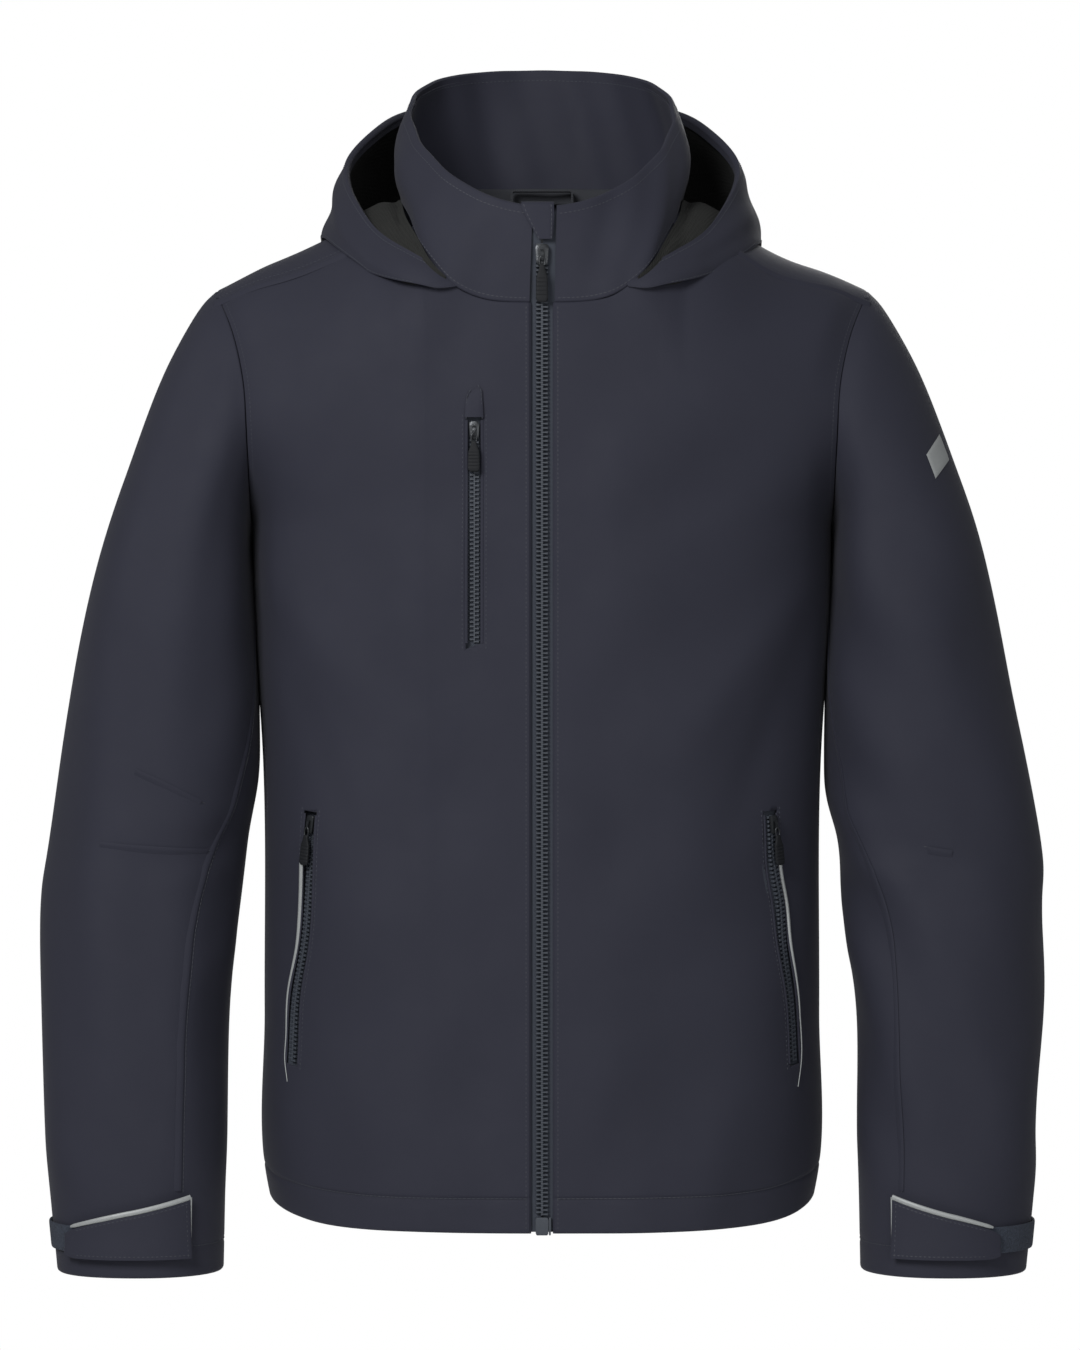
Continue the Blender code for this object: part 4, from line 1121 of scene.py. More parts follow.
def sleeve_skin(t, angle, seed, proud=0.0):
    """Points on a wearer's-left sleeve, `proud` metres outside the cloth, with the outward normals."""
    t, angle = np.broadcast_arrays(np.asarray(t, float), np.asarray(angle, float))
    step_t, step_a = 0.004, 0.01
    low, high = np.maximum(t - step_t, 0.0), np.minimum(t + step_t, 2.0)
    along = sleeve_smooth(high, angle) - sleeve_smooth(low, angle)
    around = sleeve_smooth(t, angle + step_a) - sleeve_smooth(t, angle - step_a)
    normal = np.cross(along, around)
    normal /= np.maximum(np.linalg.norm(normal, axis=-1, keepdims=True), 1e-12)
    points = sleeve_smooth(t, angle)
    normal *= np.sign(np.sum(normal * (points - sleeve_middle(t)), axis=-1, keepdims=True))
    return points + (sleeve_height(t, angle, seed) + proud)[..., None] * normal, normal


def sleeve_bend(side, name, low):
    """Two bodies beside a part of a sleeve, and two places between them: at the shoulder, or if low at the
    elbow.
    """
    if low:
        elbow = np.array([side * 0.283, -0.04, ELBOW_Z]) - LOOP_SEAT
        return (f"sleeve_{name}", f"forearm_{name}", elbow + 0.06 * UP, elbow - 0.06 * UP)
    way = np.array([side * 0.75, 0.0, -0.66])
    start = np.array([side * 0.2062, 0.0, UNDERARM_Z]) + way * 0.002
    return ("shell", f"sleeve_{name}", start - LOOP_SEAT, start + way * 0.1 - LOOP_SEAT)


def make_sleeve(side, name):
    """The upper sleeve and the forearm, each a tube of cloth and one of lining, then their seams."""
    flip = np.array([side, 1.0, 1.0])
    upper = SLEEVE_SPLIT * crowded(90, 0.3)
    lower = SLEEVE_SPLIT + (2 - SLEEVE_SPLIT) * crowded(130, 0.42)
    for piece, t, node in (("upper_sleeve", upper, "upper_sleeve"), ("lower_sleeve", lower, "forearm")):
        low = node == "forearm"
        cloth = Mesh()
        cloth.add_sheet(*sleeve_cloth(t, side, low) * flip, closed=True)
        cloth = cloth.build(f"{piece}_cloth_{name}", FINISH["shell_fabric"])
        put(cloth, None, (f"{node}_{name}",), bend=sleeve_bend(side, name, low))
        lining = Mesh()
        lining.add_sheet(*sleeve_lining(t, side, low) * flip, closed=True)
        lining = lining.build(f"{piece}_lining_of_{name}", FINISH["lining_fabric"])
        put(lining, None, (f"{node}_lining_{name}",), bend=sleeve_bend(side, name, low))
    make_sleeve_seams(side, name)


def sleeve_angles(count):
    return (np.arange(count) * 2 * math.pi / count)[None, :]


def sleeve_cloth(t, side, low):
    """Outer and inner grids of a tube of cloth, turned in at the armhole or, if low, at the cuff."""
    skin, outward = sleeve_skin(t[:, None], sleeve_angles(112), SLEEVE_SEED[side])
    groove = np.exp(-(((t - SLEEVE_HEM) / 0.004) ** 2)) * 0.0006
    skin = skin - groove[:, None, None] * outward
    depth = np.zeros(len(t))
    if low:
        depth[-3:] = ROLL[::-1]
    else:
        depth[:3] = ROLL
    skin = skin - depth[:, None, None] * outward
    return np.stack([skin, skin - CLOTH * outward])


def sleeve_lining(t, side, low):
    """Outer and inner grids of the lining, which meets the other part's at the seam between them."""
    t = np.unique(np.clip(t, 0.05, 1.9))[::3]
    t[0 if low else -1] = SLEEVE_SPLIT
    wall, outward = sleeve_skin(t[:, None], sleeve_angles(112)[:, ::2], SLEEVE_SEED[side], -0.004)
    return np.stack([wall, wall - LINING * outward])


def make_sleeve_seams(side, name):
    """The lapped and stitched seams and darts of a sleeve, and the stitches round its cuff."""
    flip = np.array([side, 1.0, 1.0])
    seed = SLEEVE_SEED[side]
    for piece, seams in (("upper_sleeve", UPPER_SEAMS), ("lower_sleeve", LOWER_SEAMS[side])):
        low = piece == "lower_sleeve"
        laps, rows = Mesh(), Mesh()
        for places, degrees in seams:
            fine = np.linspace(0, 1, 60)
            share = np.linspace(0, 1, len(places))
            t = np.interp(fine, share, places)
            angle = np.radians(np.interp(fine, share, degrees))
            path, normals = sleeve_skin(t, angle, seed)
            add_lap(laps, path * flip, normals * flip, 0.005, 0.001)
            runs_round = np.ptp(degrees) > 20 and len(places) < 5
            beside, normals = sleeve_skin(t + 0.006 * runs_round, angle + 0.03, seed)
            add_stitches(rows, (beside + 0.0003 * normals) * flip, normals * flip)
        if low:
            round_cuff = np.radians(np.linspace(0, 360, 120))
            path, normals = sleeve_skin(np.full(120, SLEEVE_HEM), round_cuff, seed, -0.0002)
            add_stitches(rows, path * flip, normals * flip)
        bend = sleeve_bend(side, name, low)
        put(laps.build(f"{piece}_laps_{name}", FINISH["shell_fabric"]), None, bend=bend)
        put(rows.build(f"{piece}_stitching_{name}", FINISH["thread"]), None, bend=bend)


# Cuffs: the adjusting tab runs from its sewn end to its free end, in degrees round each forearm -----

TAB_START = {1: 128, -1: 127}
TAB_END = {1: 60, -1: 44}
TAB_OUT = 0.0036
TAB_THICK = 0.0021
TAB_LOW = 1.955
TAB_LIFT = 0.0022
PIPING_OUT = TAB_OUT + 0.0011


def tab_top(degrees, side):
    """How far down the forearm the tab's upper edge is: it slopes to the narrow free end."""
    return 1.82 + 0.074 * (TAB_START[side] - degrees) / (TAB_START[side] - TAB_END[side])


def cuff_point(t, degrees, out):
    """A place `out` metres proud of the smooth cuff, on the wearer's left, with its outward normal."""
    t, degrees = np.broadcast_arrays(np.asarray(t, float), np.asarray(degrees, float))
    a = np.radians(degrees)
    here = sleeve_section(t, a)
    tangent = sleeve_section(t, a + 0.02) - sleeve_section(t, a - 0.02)
    normal = np.cross(tangent, UP)
    normal *= np.sign(np.sum(normal * (here - sleeve_middle(t)), axis=-1, keepdims=True))
    normal /= np.linalg.norm(normal, axis=-1, keepdims=True)
    return here + out * normal, normal


def cuff_layer(made, degrees, top, low, out, thick, flip, round_end=0.0, lift=0.0):
    """A flat patch on the cuff with softened edges, between the heights top and low.

    round_end pulls in the corners of its last column, and lift is how far its foot stands off.
    """
    share = np.linspace(0, 1, 26)[:, None]
    degrees = np.asarray(degrees, float)[None, :]
    to_end = np.abs(degrees - degrees[0, -1]) / abs(degrees[0, 0] - degrees[0, -1])
    pinch = round_end * np.clip(1 - to_end / 0.14, 0, 1) ** 2
    t = top + pinch * (low - top) + share * (low - top) * (1 - 2 * pinch)
    skin, normal = cuff_point(t, degrees, out)
    skin = skin + (lift * share**2)[..., None] * normal
    rows = np.minimum(np.arange(26), np.arange(26)[::-1])[:, None]
    columns = np.arange(degrees.size)
    columns = np.minimum(columns, columns[::-1])[None, :]
    rim = 0.0004 * np.exp(-np.minimum(rows, columns) / 0.8)[..., None]
    made.add_sheet((skin + (thick - rim) * normal) * flip, (skin + rim * normal) * flip)


def make_cuff(side, name):
    """The adjuster: a sewn-on tab with piping and a hook patch, and the loop patch it closes on."""
    flip = np.array([side, 1.0, 1.0])
    body = f"cuff_tab_{name}"
    sewn, free = TAB_START[side], TAB_END[side]
    loop, tab, hook = Mesh(), Mesh(), Mesh()
    cuff_layer(loop, free + 24 - 104 * crowded(50, 0.11), 1.882, 1.944, 0.0006, 0.0021, flip)
    loop = loop.build(f"cuff_loop_{name}", FINISH["hook_and_loop"])
    put(loop, f"forearm_{name}", (f"cuff_loop_patch_{name}",))
    degrees = sewn + (free - sewn) * crowded(50, 0.12)
    cuff_layer(tab, degrees, tab_top(degrees, side), TAB_LOW, TAB_OUT, TAB_THICK, flip, 0.12, TAB_LIFT)
    put(tab.build(f"cuff_strap_{name}", FINISH["shell_fabric"]), body, (body,))
    cuff_layer(hook, free + 22 - 18 * crowded(16, 0.025), 1.895, 1.94, 0.0028, 0.0008, flip)
    put(hook.build(f"cuff_hook_{name}", FINISH["hook_and_loop"]), body, (f"cuff_hook_patch_{name}",))
    make_cuff_piping(side, name, flip)
    make_cuff_stitching(side, name, flip)


def add_cuff_piping(made, t, degrees, profile, scale, flip):
    path, normal = cuff_point(t, degrees, PIPING_OUT)
    across = np.cross(directions(path * flip), normal * flip)
    made.add_bar(path * flip, across, normal * flip, profile * scale[:, None, None])


def make_cuff_piping(side, name, flip):
    """Piping along the tab's upper edge, which turns down its sewn edge and fades out."""
    sewn, free = TAB_START[side], TAB_END[side]
    oval = ellipse(12, 0.0015, 0.0008)
    piping = Mesh()
    degrees = np.linspace(sewn, free + 6, 60)
    taper = np.interp(degrees, [free + 6, free + 9, free + 30, sewn], [0.5, 0.9, 1.2, 1.25])
    add_cuff_piping(piping, tab_top(degrees, side) - 0.0065, degrees, oval, taper, flip)
    leg_t = np.linspace(tab_top(sewn, side) - 0.006, 1.92, 20)
    taper = np.interp(leg_t, [leg_t[0], 1.85, 1.92], [0.8, 0.5, 0.15])
    add_cuff_piping(piping, leg_t, sewn + 0.6, oval * (0.7, 1), taper, flip)
    piping = piping.build(f"cuff_trim_{name}", FINISH["reflective_piping"])
    put(piping, f"cuff_tab_{name}", (f"cuff_piping_{name}",))


def make_cuff_stitching(side, name, flip):
    """Rows of stitches near the tab's lower, sewn and upper edges."""
    sewn, free = TAB_START[side], TAB_END[side]
    rows = Mesh()
    along = np.linspace(sewn - 3, free + 12, 40)
    low_row = TAB_LOW - 0.008
    for t, degrees in (
        (np.full(40, low_row), along),
        (np.linspace(1.835, low_row, 20), np.full(20, sewn - 3)),
        (tab_top(along, side) + 0.006, along),
    ):
        down = (t - tab_top(degrees, side)) / (TAB_LOW - tab_top(degrees, side))
        path, normal = cuff_point(t, degrees, TAB_OUT + TAB_THICK)
        path = path + (TAB_LIFT * down**2)[:, None] * normal
        add_stitches(rows, path * flip, normal * flip)
    put(rows.build(f"cuff_stitching_{name}", FINISH["thread"]), f"cuff_tab_{name}")


def make_reflective_bar():
    """A plain reflective bar on the wearer's left upper sleeve."""
    made = Mesh()
    t = np.linspace(0.27, 0.31, 16)[:, None]
    degrees = np.radians(np.linspace(50, 26, 30))[None, :]
    low, _ = sleeve_skin(t, degrees, SLEEVE_SEED[1], 0.0002)
    high, _ = sleeve_skin(t, degrees, SLEEVE_SEED[1], 0.0008)
    made.add_sheet(rolled(high, (low - high) / 0.0006 * 0.4), low)
    bar = made.build("sleeve_bar", FINISH["reflective_piping"])
    put(bar, None, ("sleeve_reflective_bar",), bend=sleeve_bend(1, "left", False))


# Zips -------------------------------------------------------------------------------------------

TOOTH_PITCH = 0.003

# Half a puller's width down its length, and a retainer box's width and depth down its own
PULL_SHAPE = (
    (0, 0.0012),
    (0.04, 0.0019),
    (0.16, 0.0024),
    (0.35, 0.0039),
    (0.9, 0.0042),
    (0.97, 0.0036),
    (1, 0.0024),
)
BOX_SHAPE = ((0, 0.8), (0.06, 0.93), (0.14, 1), (0.5, 1), (0.86, 1), (0.94, 0.93), (1, 0.8))
BOX_LENGTH = 0.0122


class Line:
    """A straight line on the garment: places are (across, out, along) from its start."""

    def __init__(self, start, end, outward):
        self.start = np.array(start, float)
        run = np.array(end, float) - self.start
        self.length = float(np.linalg.norm(run))
        self.along = run / self.length
        across = np.cross(self.along, np.array(outward, float))
        self.across = across / np.linalg.norm(across)
        self.out = np.cross(self.across, self.along)

    def at(self, across, out, along):
        across, out, along = np.broadcast_arrays(across, out, along)
        frame_axes = np.stack([self.across, self.out, self.along])
        return self.start + np.stack([across, out, along], axis=-1).astype(float) @ frame_axes


def pocket_line(places, side):
    """The line of a pocket zip on the front, on the wearer's left (side 1) or right (side -1)."""
    ends = [(side * x, float(torso_y(x, z, False)), z) for x, z in places]
    x, z = (np.array(places[0]) + np.array(places[1])) / 2
    slope_x, slope_z = torso_slopes(x, z, False, 0.004)
    return Line(ends[0], ends[1], (side * float(slope_x), -1.0, float(slope_z)))


def main_line():
    top, low = MAIN_ZIP_TOP_Z, HEM_Z - 0.001
    return Line((0, -front_depth(top), top), (0, -front_depth(low), low), (0, -1, 0))


def add_strip(made, line, places, widths, outs):
    """A strip along a line: for each place along it, its two sides across and its low and high faces."""
    low, high = [], []
    for along, width, (low_out, high_out) in zip(places, widths, outs):
        across = np.linspace(*width, 5)
        low.append(line.at(across, low_out, along))
        high.append(line.at(across, high_out, along))
    made.add_sheet(np.array(high), np.array(low))


def add_teeth(made, line, side, start, end, reach, low, high):
    """A row of moulded teeth on one side of a zip; the two sides' teeth pass between each other."""
    outline = [(1.0, -0.3), (1.0, 0.3), (0.45, 0.22), (0.12, 0.2), (-0.1, 0.36), (-0.22, 0.25)]
    outline += [(-0.22, -0.25), (-0.1, -0.36), (0.12, -0.2), (0.45, -0.22)]
    outline = np.array(outline) * (reach, TOOTH_PITCH)
    crest = outline * (0.86, 0.72) + (reach * 0.06, 0)
    n = len(outline)
    sides = [[i, (i + 1) % n, (i + 1) % n + n, i + n] for i in range(n)]
    top_faces = [[i + n for i in face] for face in sides]
    top_faces += [list(range(2 * n, 3 * n)), list(range(n))[::-1]]
    offset = 0 if side > 0 else TOOTH_PITCH / 2
    for along in np.arange(start + offset, end, TOOTH_PITCH):
        rings = [(outline, low), (outline, high - 0.0005), (crest, high)]
        points = [line.at(side * ring[:, 0], out, along + ring[:, 1]) for ring, out in rings]
        made.add(np.concatenate(points), sides + top_faces)


def make_slider(name, line, top, length, half, low, body, node):
    """A die-cast slider: a plate over the teeth with flanges down its sides and a bridge on top."""
    made = Mesh()
    share = np.linspace(0, 1, 15)
    shape = half * np.interp(share, [0, 0.06, 0.2, 0.5, 0.85, 1.0], [0.72, 0.9, 1.0, 0.93, 0.85, 0.66])
    columns = np.linspace(-1, 1, 13)
    dome = 0.0022 - 0.0004 * columns**4 - 0.0004 * (2 * share[:, None] - 1) ** 6
    across = shape[:, None] * columns
    along = (top + share * length)[:, None]
    flange = np.where(np.abs(columns) > 0.82, low, 0.0007)
    made.add_sheet(line.at(across, dome, along), line.at(across, flange, along))
    arch = np.linspace(0, math.pi, 13)
    middle, reach = top + length * 0.55, length * 0.27
    centres = line.at(0.0, 0.0019 + 0.0019 * np.sin(arch) ** 0.7, middle - reach * np.cos(arch))
    sides = np.array([line.across] * len(arch))
    left = [(-0.0011, -0.0003), (-0.0011, 0.0003), (-0.0006, 0.0006)]
    ring = left + [(-across, up) for across, up in left[::-1]]
    made.add_bar(centres, sides, np.cross(directions(centres), sides), ring)
    put(made.build(f"{name}_body", FINISH["zip_slider"], 30), body, (node,))


def make_puller(name, line, top, length, body):
    """A wire link through the bridge and a moulded pull tab with a ribbed grip."""
    out = 0.0039
    make_puller_link(name, line, top + 0.0028, out, body)
    share = np.linspace(0, 1, 49)
    start = top + 0.0048
    along = start + share * (top + length - start)
    half = np.interp(share, *zip(*PULL_SHAPE))
    ribs = 0.00022 * np.cos(share * 2 * math.pi * 9)
    ribs = ribs * smoothstep((share - 0.32) / 0.05) * smoothstep((0.92 - share) / 0.05)
    thick = np.interp(share, [0, 0.05, 0.95, 1.0], [0.0007, 0.00115, 0.00115, 0.0006])
    c, s = ellipse(24, 1, 1).T
    oval = np.stack([np.sign(c) * np.abs(c) ** 0.7, np.sign(s) * np.abs(s) ** 0.45], axis=1)
    profile = oval[None] * np.stack([half, thick + ribs], axis=1)[:, None]
    grip = Mesh()
    grip.add_bar(line.at(0.0, out, along), np.array([line.across] * 49), np.array([line.out] * 49), profile)
    put(grip.build(f"{name}_pull", FINISH["zip_puller"]), body, (f"{name}_puller",))


def make_puller_link(name, line, middle, out, body):
    """A closed oval of wire."""
    turn = np.linspace(0, 2 * math.pi, 33)[:-1]
    centres = line.at(0.0019 * np.cos(turn), out, middle + 0.0036 * np.sin(turn))
    travel = np.roll(centres, -1, axis=0) - np.roll(centres, 1, axis=0)
    travel /= np.linalg.norm(travel, axis=1, keepdims=True)
    wire = ellipse(8, 0.00055, 0.00055)
    sides = np.cross(travel, line.out)
    tubes = centres[:, None] + wire[:, :1] * sides[:, None] + wire[:, 1:] * line.out
    faces = grid_faces(33, 8, closed=True) % (32 * 8)
    link = Mesh()
    link.add(tubes, faces.tolist())
    put(link.build(f"{name}_link", FINISH["zip_slider"], 60), body)


def make_main_zip():
    """Two tapes with their teeth, the box and pin at the foot, the flap behind, and the slider."""
    line = main_line()
    along = np.linspace(-0.022, line.length - 0.002, 120)
    sag = np.interp(along, [-0.022, 0.0, 0.01], [0.0012, 0.0004, 0.0])
    for name, side in SIDES.items():
        # across runs to the wearer's right on this line, so the left side's places are negative
        width = tuple(sorted((-side * 0.0008, -side * 0.0125)))
        tape, teeth = Mesh(), Mesh()
        add_strip(tape, line, along, [width] * len(along), [(-0.0036 + s, -0.003 + s) for s in sag])
        put(tape.build(f"main_tape_{name}", FINISH["zip_tape"]), "shell", (f"main_zip_tape_{name}",))
        add_teeth(teeth, line, -side, 0.001, line.length - 0.013, TEETH_HALF, -0.003, 0.0003)
        teeth = teeth.build(f"main_teeth_{name}", FINISH["zip_teeth"], 20)
        put(teeth, "shell", (f"main_zip_teeth_{name}",))
    make_retainer(line)
    flap = Mesh()
    along = np.linspace(0.018, line.length - 0.006, 90)
    add_strip(flap, line, along, [(-0.0245, 0.0245)] * 90, [(-0.0064, -0.0052)] * 90)
    put(flap.build("inner_flap", FINISH["shell_fabric"]), "shell", ("storm_flap",))
    make_slider("main_zip", line, 0.001, 0.0145, 0.0046, -0.0018, "main_zip_slider", "main_zip_slider")
    make_puller("main_zip", line, 0.0105, 0.031, "main_zip_puller")


def make_retainer(line):
    """The box at the zip's foot and the pin beside it, both with softened ends."""
    ends, taper = np.array(BOX_SHAPE).T
    ends = line.length - BOX_LENGTH + BOX_LENGTH * ends
    box, pin = Mesh(), Mesh()
    widths = [(-0.0044 * k, 0.0044 * k) for k in taper]
    add_strip(box, line, ends, widths, [(-0.0038 * k, 0.0014 * k) for k in taper])
    put(box.build("main_retainer", FINISH["zip_teeth"], 30), "shell", ("main_zip_retainer_box",))
    widths = [(-0.0054 - 0.0007 * k, -0.0054 + 0.0007 * k) for k in taper]
    add_strip(pin, line, ends, widths, [(-0.0026, -0.0005 + 0.0012 * k) for k in taper])
    put(pin.build("main_pin", FINISH["zip_teeth"], 30), "shell", ("main_zip_insertion_pin",))


# Pockets ----------------------------------------------------------------------------------------


class Pocket:
    """A zipped pocket's measures: its zip's depth, its opening and where its bag hangs on the front."""

    def __init__(self, depth, lip, slot, bag_x, bag_z, bag_node):
        self.depth = depth
        self.lip = lip
        self.slot = slot
        self.bag_x = bag_x
        self.bag_z = bag_z
        self.bag_node = bag_node


CHEST_POCKET = Pocket(0.0024, 0.0054, 0.0056, (0.034, 0.13), (-0.345, -0.19), "chest_pocket_bag")
HAND_POCKETS = {
    name: Pocket(0.0036, 0.0062, 0.0062, (0.06, 0.15), (-0.66, -0.47), f"hand_pocket_bag_{name}")
    for name in SIDES
}
BAG_INSET = 0.0042

# How far each hand pocket's opening and its piping stand outside the zip's straight line, down its length
OPENING_SWAY = {
    1: ((0.0, 0.0), (0.2, -0.0012), (0.36, 0.0016), (0.52, 0.0004), (0.8, 0.0024), (1.0, 0.0004)),
    -1: ((0.0, -0.001), (0.25, -0.0022), (0.5, -0.003), (0.74, 0.0012), (1.0, -0.0006)),
}
PIPING_SWAY = {
    1: (
        (0.15, 0.0052),
        (0.24, 0.0066),
        (0.36, 0.0092),
        (0.52, 0.0076),
        (0.8, 0.0098),
        (1.0, 0.0068),
        (1.1, 0.0004),
    ),
    -1: (
        (0.17, 0.0046),
        (0.36, 0.0042),
        (0.53, 0.0042),
        (0.73, 0.0082),
        (0.9, 0.0066),
        (1.0, 0.0056),
        (1.08, 0.0008),
    ),
}


def opening_sway(side):
    """The opening's sway as places across the zip's line, whose across always runs to the wearer's right."""
    return lambda share: -side * smooth_curve(OPENING_SWAY[side], share)


def straight(share):
    return 0.0 * share


def slot_cutter(name, line, half, bend, slant=0.0):
    """A closed bar that opens the cloth along a pocket zip."""
    made = Mesh()
    share = np.linspace(0, 1, 40)
    along = -0.002 + share * (line.length + 0.004)
    columns = np.linspace(-1, 1, 3)
    across = bend(share)[:, None] + half * columns
    tilted = along[:, None] + slant * columns * (share[:, None] > 0.5) * share[:, None]
    made.add_sheet(line.at(across, 0.02, tilted), line.at(across, -0.02, tilted))
    return made.build(name, FINISH["shell_fabric"])


def make_pocket(name, line, pocket, bend, side):
    """Tape and teeth in the slot, the slider with its puller, lips of folded cloth, and the bag."""
    depth = pocket.depth
    along = -0.004 + np.linspace(0, 1, 70) * (line.length + 0.008)
    shift = bend(np.clip(along / line.length, 0, 1))
    tape, teeth = Mesh(), Mesh()
    add_strip(tape, line, along, [(-0.0095 + b, 0.0095 + b) for b in shift], [(-depth - 0.0008, -depth)] * 70)
    put(tape.build(f"{name}_cloth_tape", FINISH["zip_tape"]), "shell", (f"{name}_tape",))
    for way in (1, -1):
        add_teeth(teeth, line, way, 0.002, line.length - 0.001, POCKET_TEETH_HALF, -depth + 0.0002, -0.0004)
    bent = np.concatenate(teeth.points)
    down = (bent - line.start) @ line.along / line.length
    teeth.points = [bent + bend(np.clip(down, 0, 1))[:, None] * line.across]
    put(teeth.build(f"{name}_moulded_teeth", FINISH["zip_teeth"], 20), "shell", (f"{name}_teeth",))
    make_slider(name, line, 0.001, 0.0125, 0.0036, 0.0003, f"{name}_slider", f"{name}_slider")
    make_puller(name, line, 0.01, 0.026, f"{name}_puller")
    make_pocket_lips(name, line, pocket.lip, bend)
    make_pocket_bag(name, pocket, side)


def make_pocket_lips(name, line, lip, bend):
    """A rolled edge on each side of the slot, with a row of stitches beside it."""
    lips, rows = Mesh(), Mesh()
    share = np.linspace(0, 1, 70)
    for way in (1, -1):
        path = line.at(way * lip + bend(share), 0.0, share * line.length)
        skin, normals = torso_skin(path[:, 0], path[:, 2], False, -0.0003)
        lips.add_bar(skin, np.cross(directions(skin), normals), normals, ellipse(10, 0.0012, 0.0008))
        beside = line.at(way * (lip + 0.0028) + bend(share), 0.0, -0.003 + share * (line.length + 0.006))
        add_stitches(rows, *torso_skin(beside[:, 0], beside[:, 2], False))
    put(lips.build(f"{name}_lips", FINISH["shell_fabric"]), "shell")
    put(rows.build(f"{name}_stitching", FINISH["thread"]), "shell")


def make_pocket_bag(name, pocket, side):
    """The bag's inner face, lying between the outer cloth and the lining."""
    x = side * np.linspace(*pocket.bag_x, 30)[None, :]
    z = np.linspace(*pocket.bag_z, 40)[:, None]
    inset = -BAG_INSET - pocket.depth / 4
    bag = Mesh()
    bag.add_sheet(torso_skin(x, z, False, inset)[0], torso_skin(x, z, False, inset - 0.001)[0])
    put(bag.build(f"{name}_pouch", FINISH["lining_fabric"]), "shell", (pocket.bag_node,))


def make_hand_piping(name, line, side):
    """Silver piping along the welt of a hand pocket, thick above and thin at its foot."""
    made = Mesh()
    share = np.linspace(0, 1, 80)
    first, last = PIPING_SWAY[side][0][0], PIPING_SWAY[side][-1][0]
    down = first + share * (last - first)
    path = line.at(-side * smooth_curve(PIPING_SWAY[side], down), 0.0, down * line.length)
    skin, normals = torso_skin(path[:, 0], path[:, 2], False, 0.0006)
    width = np.interp(share, [0, 0.03, 0.3, 0.6, 1.0], [0.0008, 0.002, 0.0018, 0.001, 0.0004])
    profile = ellipse(10, 1, 0.8)[None] * (0.8 * width)[:, None, None]
    made.add_bar(skin, np.cross(directions(skin), normals), normals, profile)
    made = made.build(f"hand_trim_{name}", FINISH["reflective_piping"])
    put(made, "shell", (f"hand_pocket_piping_{name}",))


def make_chest_garage(line):
    """The small flap that the closed slider parks under."""
    made, rows = Mesh(), Mesh()
    along = np.linspace(-0.0215, -0.0018, 24)
    half = np.interp(along, [-0.0215, -0.0185, -0.0018], [0.0036, 0.0056, 0.0064])
    swell = 0.0004 + 0.0018 * smoothstep((along + 0.0215) / 0.014)
    columns = np.linspace(-1, 1, 15)
    across = half[:, None] * columns
    crown = swell[:, None] * (1 - 0.35 * columns**4)
    path = line.at(across, 0.0, along[:, None] + 0.002 * columns * (along[:, None] < -0.015))
    skin, normals = torso_skin(path[..., 0], path[..., 2], False)
    made.add_sheet(skin + (crown + 0.0006)[..., None] * normals, skin + 0.0002 * normals)
    put(made.build("chest_zip_cover", FINISH["shell_fabric"]), "shell", ("chest_zip_garage",))
    for way in (-0.8, 0.8):
        edge = int(round((way + 1) / 2 * 14))
        add_stitches(rows, skin[:, edge] + 0.002 * normals[:, edge], normals[:, edge])
    put(rows.build("chest_cover_stitching", FINISH["thread"]), "shell")


def make_chin_guard():
    """A folded flap over the top of the zip, which turns over the collar's edge to the inside."""
    top, low = COLLAR_FRONT_Z + 0.001, -0.058
    line = Line((0, -front_depth(top), top), (0, -front_depth(low), low), (0, -1, 0))
    fall = np.linspace(1, 0, 20)
    over = np.linspace(0, 1, 9)[1:] * math.pi
    drop = np.linspace(0, 0.012, 6)[1:]
    along = np.concatenate([fall * line.length, -0.0035 * np.sin(over), drop])
    out = np.concatenate([np.full(20, 0.0026), 0.0026 - 0.0042 * (1 - np.cos(over)), np.full(5, -0.0058)])
    left = np.interp(along, [0, 0.006, line.length], [-0.0082, -0.0084, -0.0072])
    right = np.interp(along, [0, 0.004, line.length], [0.0142, 0.0128, 0.0026])
    columns = np.linspace(0, 1, 13)
    across = left[:, None] + (right - left)[:, None] * columns
    rounded = 0.0009 * (2 * columns - 1) ** 6
    high = line.at(across, out[:, None] - rounded, along[:, None])
    low = line.at(across, out[:, None] - 0.0016 + 0.3 * rounded, along[:, None])
    front, turned, rows = Mesh(), Mesh(), Mesh()
    front.add_sheet(high[:20], low[:20])
    put(front.build("chin_flap", FINISH["shell_fabric"]), "shell", ("chin_guard",))
    inside = high[19:]
    normals = grid_normals(inside)
    normals *= np.sign(np.sum(normals[0] * -line.out))
    turned.add_sheet(inside, inside + 0.0014 * normals)
    put(turned.build("chin_flap_turned", FINISH["shell_fabric"]), "shell")
    for edge in (1, 11):
        add_stitches(rows, high[1:20, edge] + 0.0001 * line.out, np.array([line.out] * 19))
    put(rows.build("chin_stitching", FINISH["thread"]), "shell")


# Stage ------------------------------------------------------------------------------------------

CAMERA_PLACE = (-0.0014, -3.0715, -0.356)
HALF_VIEW_HEIGHT = 0.162
FLOOR_Z = -1.25


def area_light(name, place, aim, size, power):
    """A soft round light at a place, turned towards aim."""
    light = bpy.data.lights.new(name, "AREA")
    light.shape = "DISK"
    light.size = size
    light.energy = power
    obj = bpy.data.objects.new(name, light)
    obj.location = place
    way = np.array(aim, float) - np.array(place, float)
    flat = math.hypot(way[0], way[1])
    obj.rotation_euler = (math.atan2(flat, -way[2]), 0.0, math.atan2(-way[0], way[1]))
    bpy.context.scene.collection.objects.link(obj)
    return obj


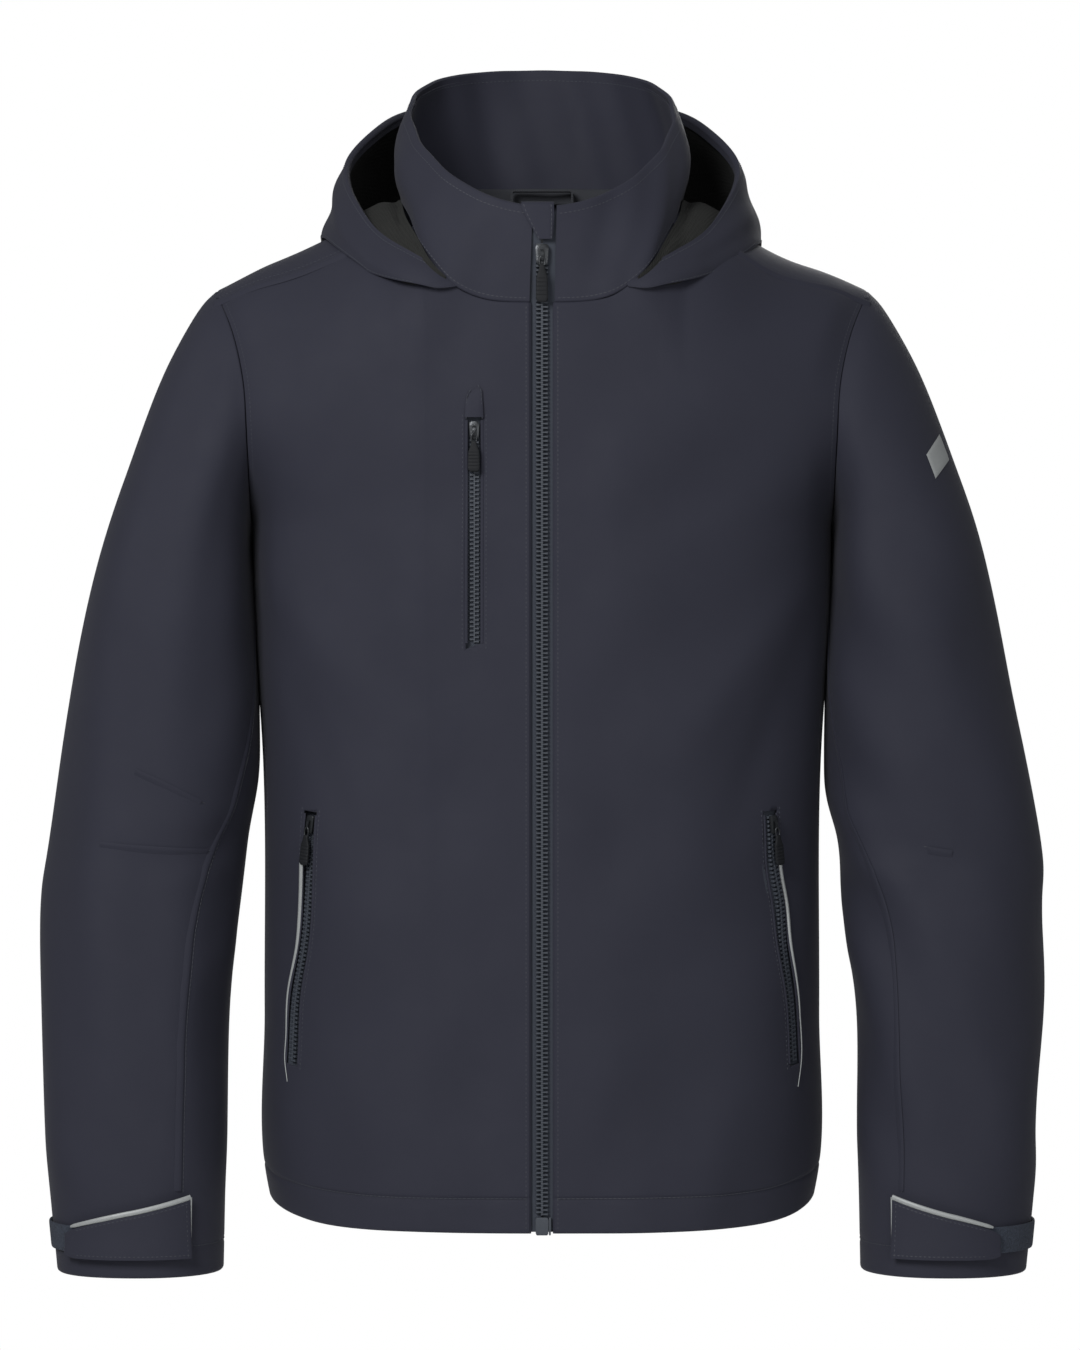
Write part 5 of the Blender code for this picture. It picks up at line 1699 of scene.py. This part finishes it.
def make_stage():
    """A plain pale floor well below the jacket, soft light from the front and a camera at chest height."""
    bpy.context.scene.view_settings.view_transform = "Standard"
    make_floor()
    make_world()
    middle = (0.0, 0.0, -0.35)
    area_light("key", (-1.2, -2.35, 0.95), middle, 1.2, 60)
    area_light("back", (0.5, 2.6, 1.0), middle, 1.6, 34)
    area_light("fill", (0.9, -2.8, -0.3), middle, 1.6, 15)
    make_camera()


def make_floor():
    work = bmesh.new()
    bmesh.ops.create_circle(work, cap_ends=True, segments=96, radius=1.1)
    mesh = bpy.data.meshes.new("floor")
    work.to_mesh(mesh)
    work.free()
    floor = bpy.data.objects.new("floor", mesh)
    floor.location = (0, 0, FLOOR_Z)
    shader = Shader("floor_paint", (0.86, 0.86, 0.86), 0.7)
    shader.vary_roughness(noise(shader, 0.2), 0.65, 0.75)
    mesh.materials.append(shader.made)
    bpy.context.scene.collection.objects.link(floor)


def make_world():
    """Soft light from all round. The camera sees the backdrop plain white."""
    world = bpy.data.worlds.new("studio")
    world.use_nodes = True
    tree = world.node_tree
    seen, lit = tree.nodes["Background"], tree.nodes.new("ShaderNodeBackground")
    path, mix = tree.nodes.new("ShaderNodeLightPath"), tree.nodes.new("ShaderNodeMixShader")
    seen.inputs["Color"].default_value = (1, 1, 1, 1)
    seen.inputs["Strength"].default_value = 1.0
    lit.inputs["Color"].default_value = (0.97, 0.98, 1.0, 1)
    lit.inputs["Strength"].default_value = 0.26
    tree.links.new(path.outputs["Is Camera Ray"], mix.inputs["Fac"])
    tree.links.new(lit.outputs["Background"], mix.inputs[1])
    tree.links.new(seen.outputs["Background"], mix.inputs[2])
    tree.links.new(mix.outputs["Shader"], tree.nodes["World Output"].inputs["Surface"])
    bpy.context.scene.world = world


def make_camera():
    lens = bpy.data.cameras.new("camera")
    lens.sensor_fit = "VERTICAL"
    lens.angle = 2 * math.atan(HALF_VIEW_HEIGHT)
    camera = bpy.data.objects.new("camera", lens)
    camera.location = CAMERA_PLACE
    camera.rotation_euler = (math.pi / 2, 0.0, 0.0)
    bpy.context.scene.collection.objects.link(camera)
    bpy.context.scene.camera = camera


def main():
    chest = pocket_line(CHEST_ZIP, -1)
    hands = {name: pocket_line(HAND_ZIP, side) for name, side in SIDES.items()}
    cutters = {}
    for name, side in SIDES.items():
        slot = HAND_POCKETS[name].slot
        cutters[name] = [slot_cutter(f"slot_{name}", hands[name], slot, opening_sway(side))]
    cutters["right"].append(slot_cutter("slot_chest", chest, CHEST_POCKET.slot, straight, 0.002))
    make_body(cutters)
    make_body_seams()
    make_body_linings()
    make_collar()
    make_neck_binding()
    make_hanger_loop()
    make_chin_guard()
    make_hood()
    for name, side in SIDES.items():
        make_sleeve(side, name)
        make_cuff(side, name)
    make_reflective_bar()
    make_main_zip()
    make_pocket("chest_zip", chest, CHEST_POCKET, straight, -1)
    make_chest_garage(chest)
    for name, side in SIDES.items():
        make_pocket(f"hand_zip_{name}", hands[name], HAND_POCKETS[name], opening_sway(side), side)
        make_hand_piping(name, hands[name], side)
    make_stage()


main()
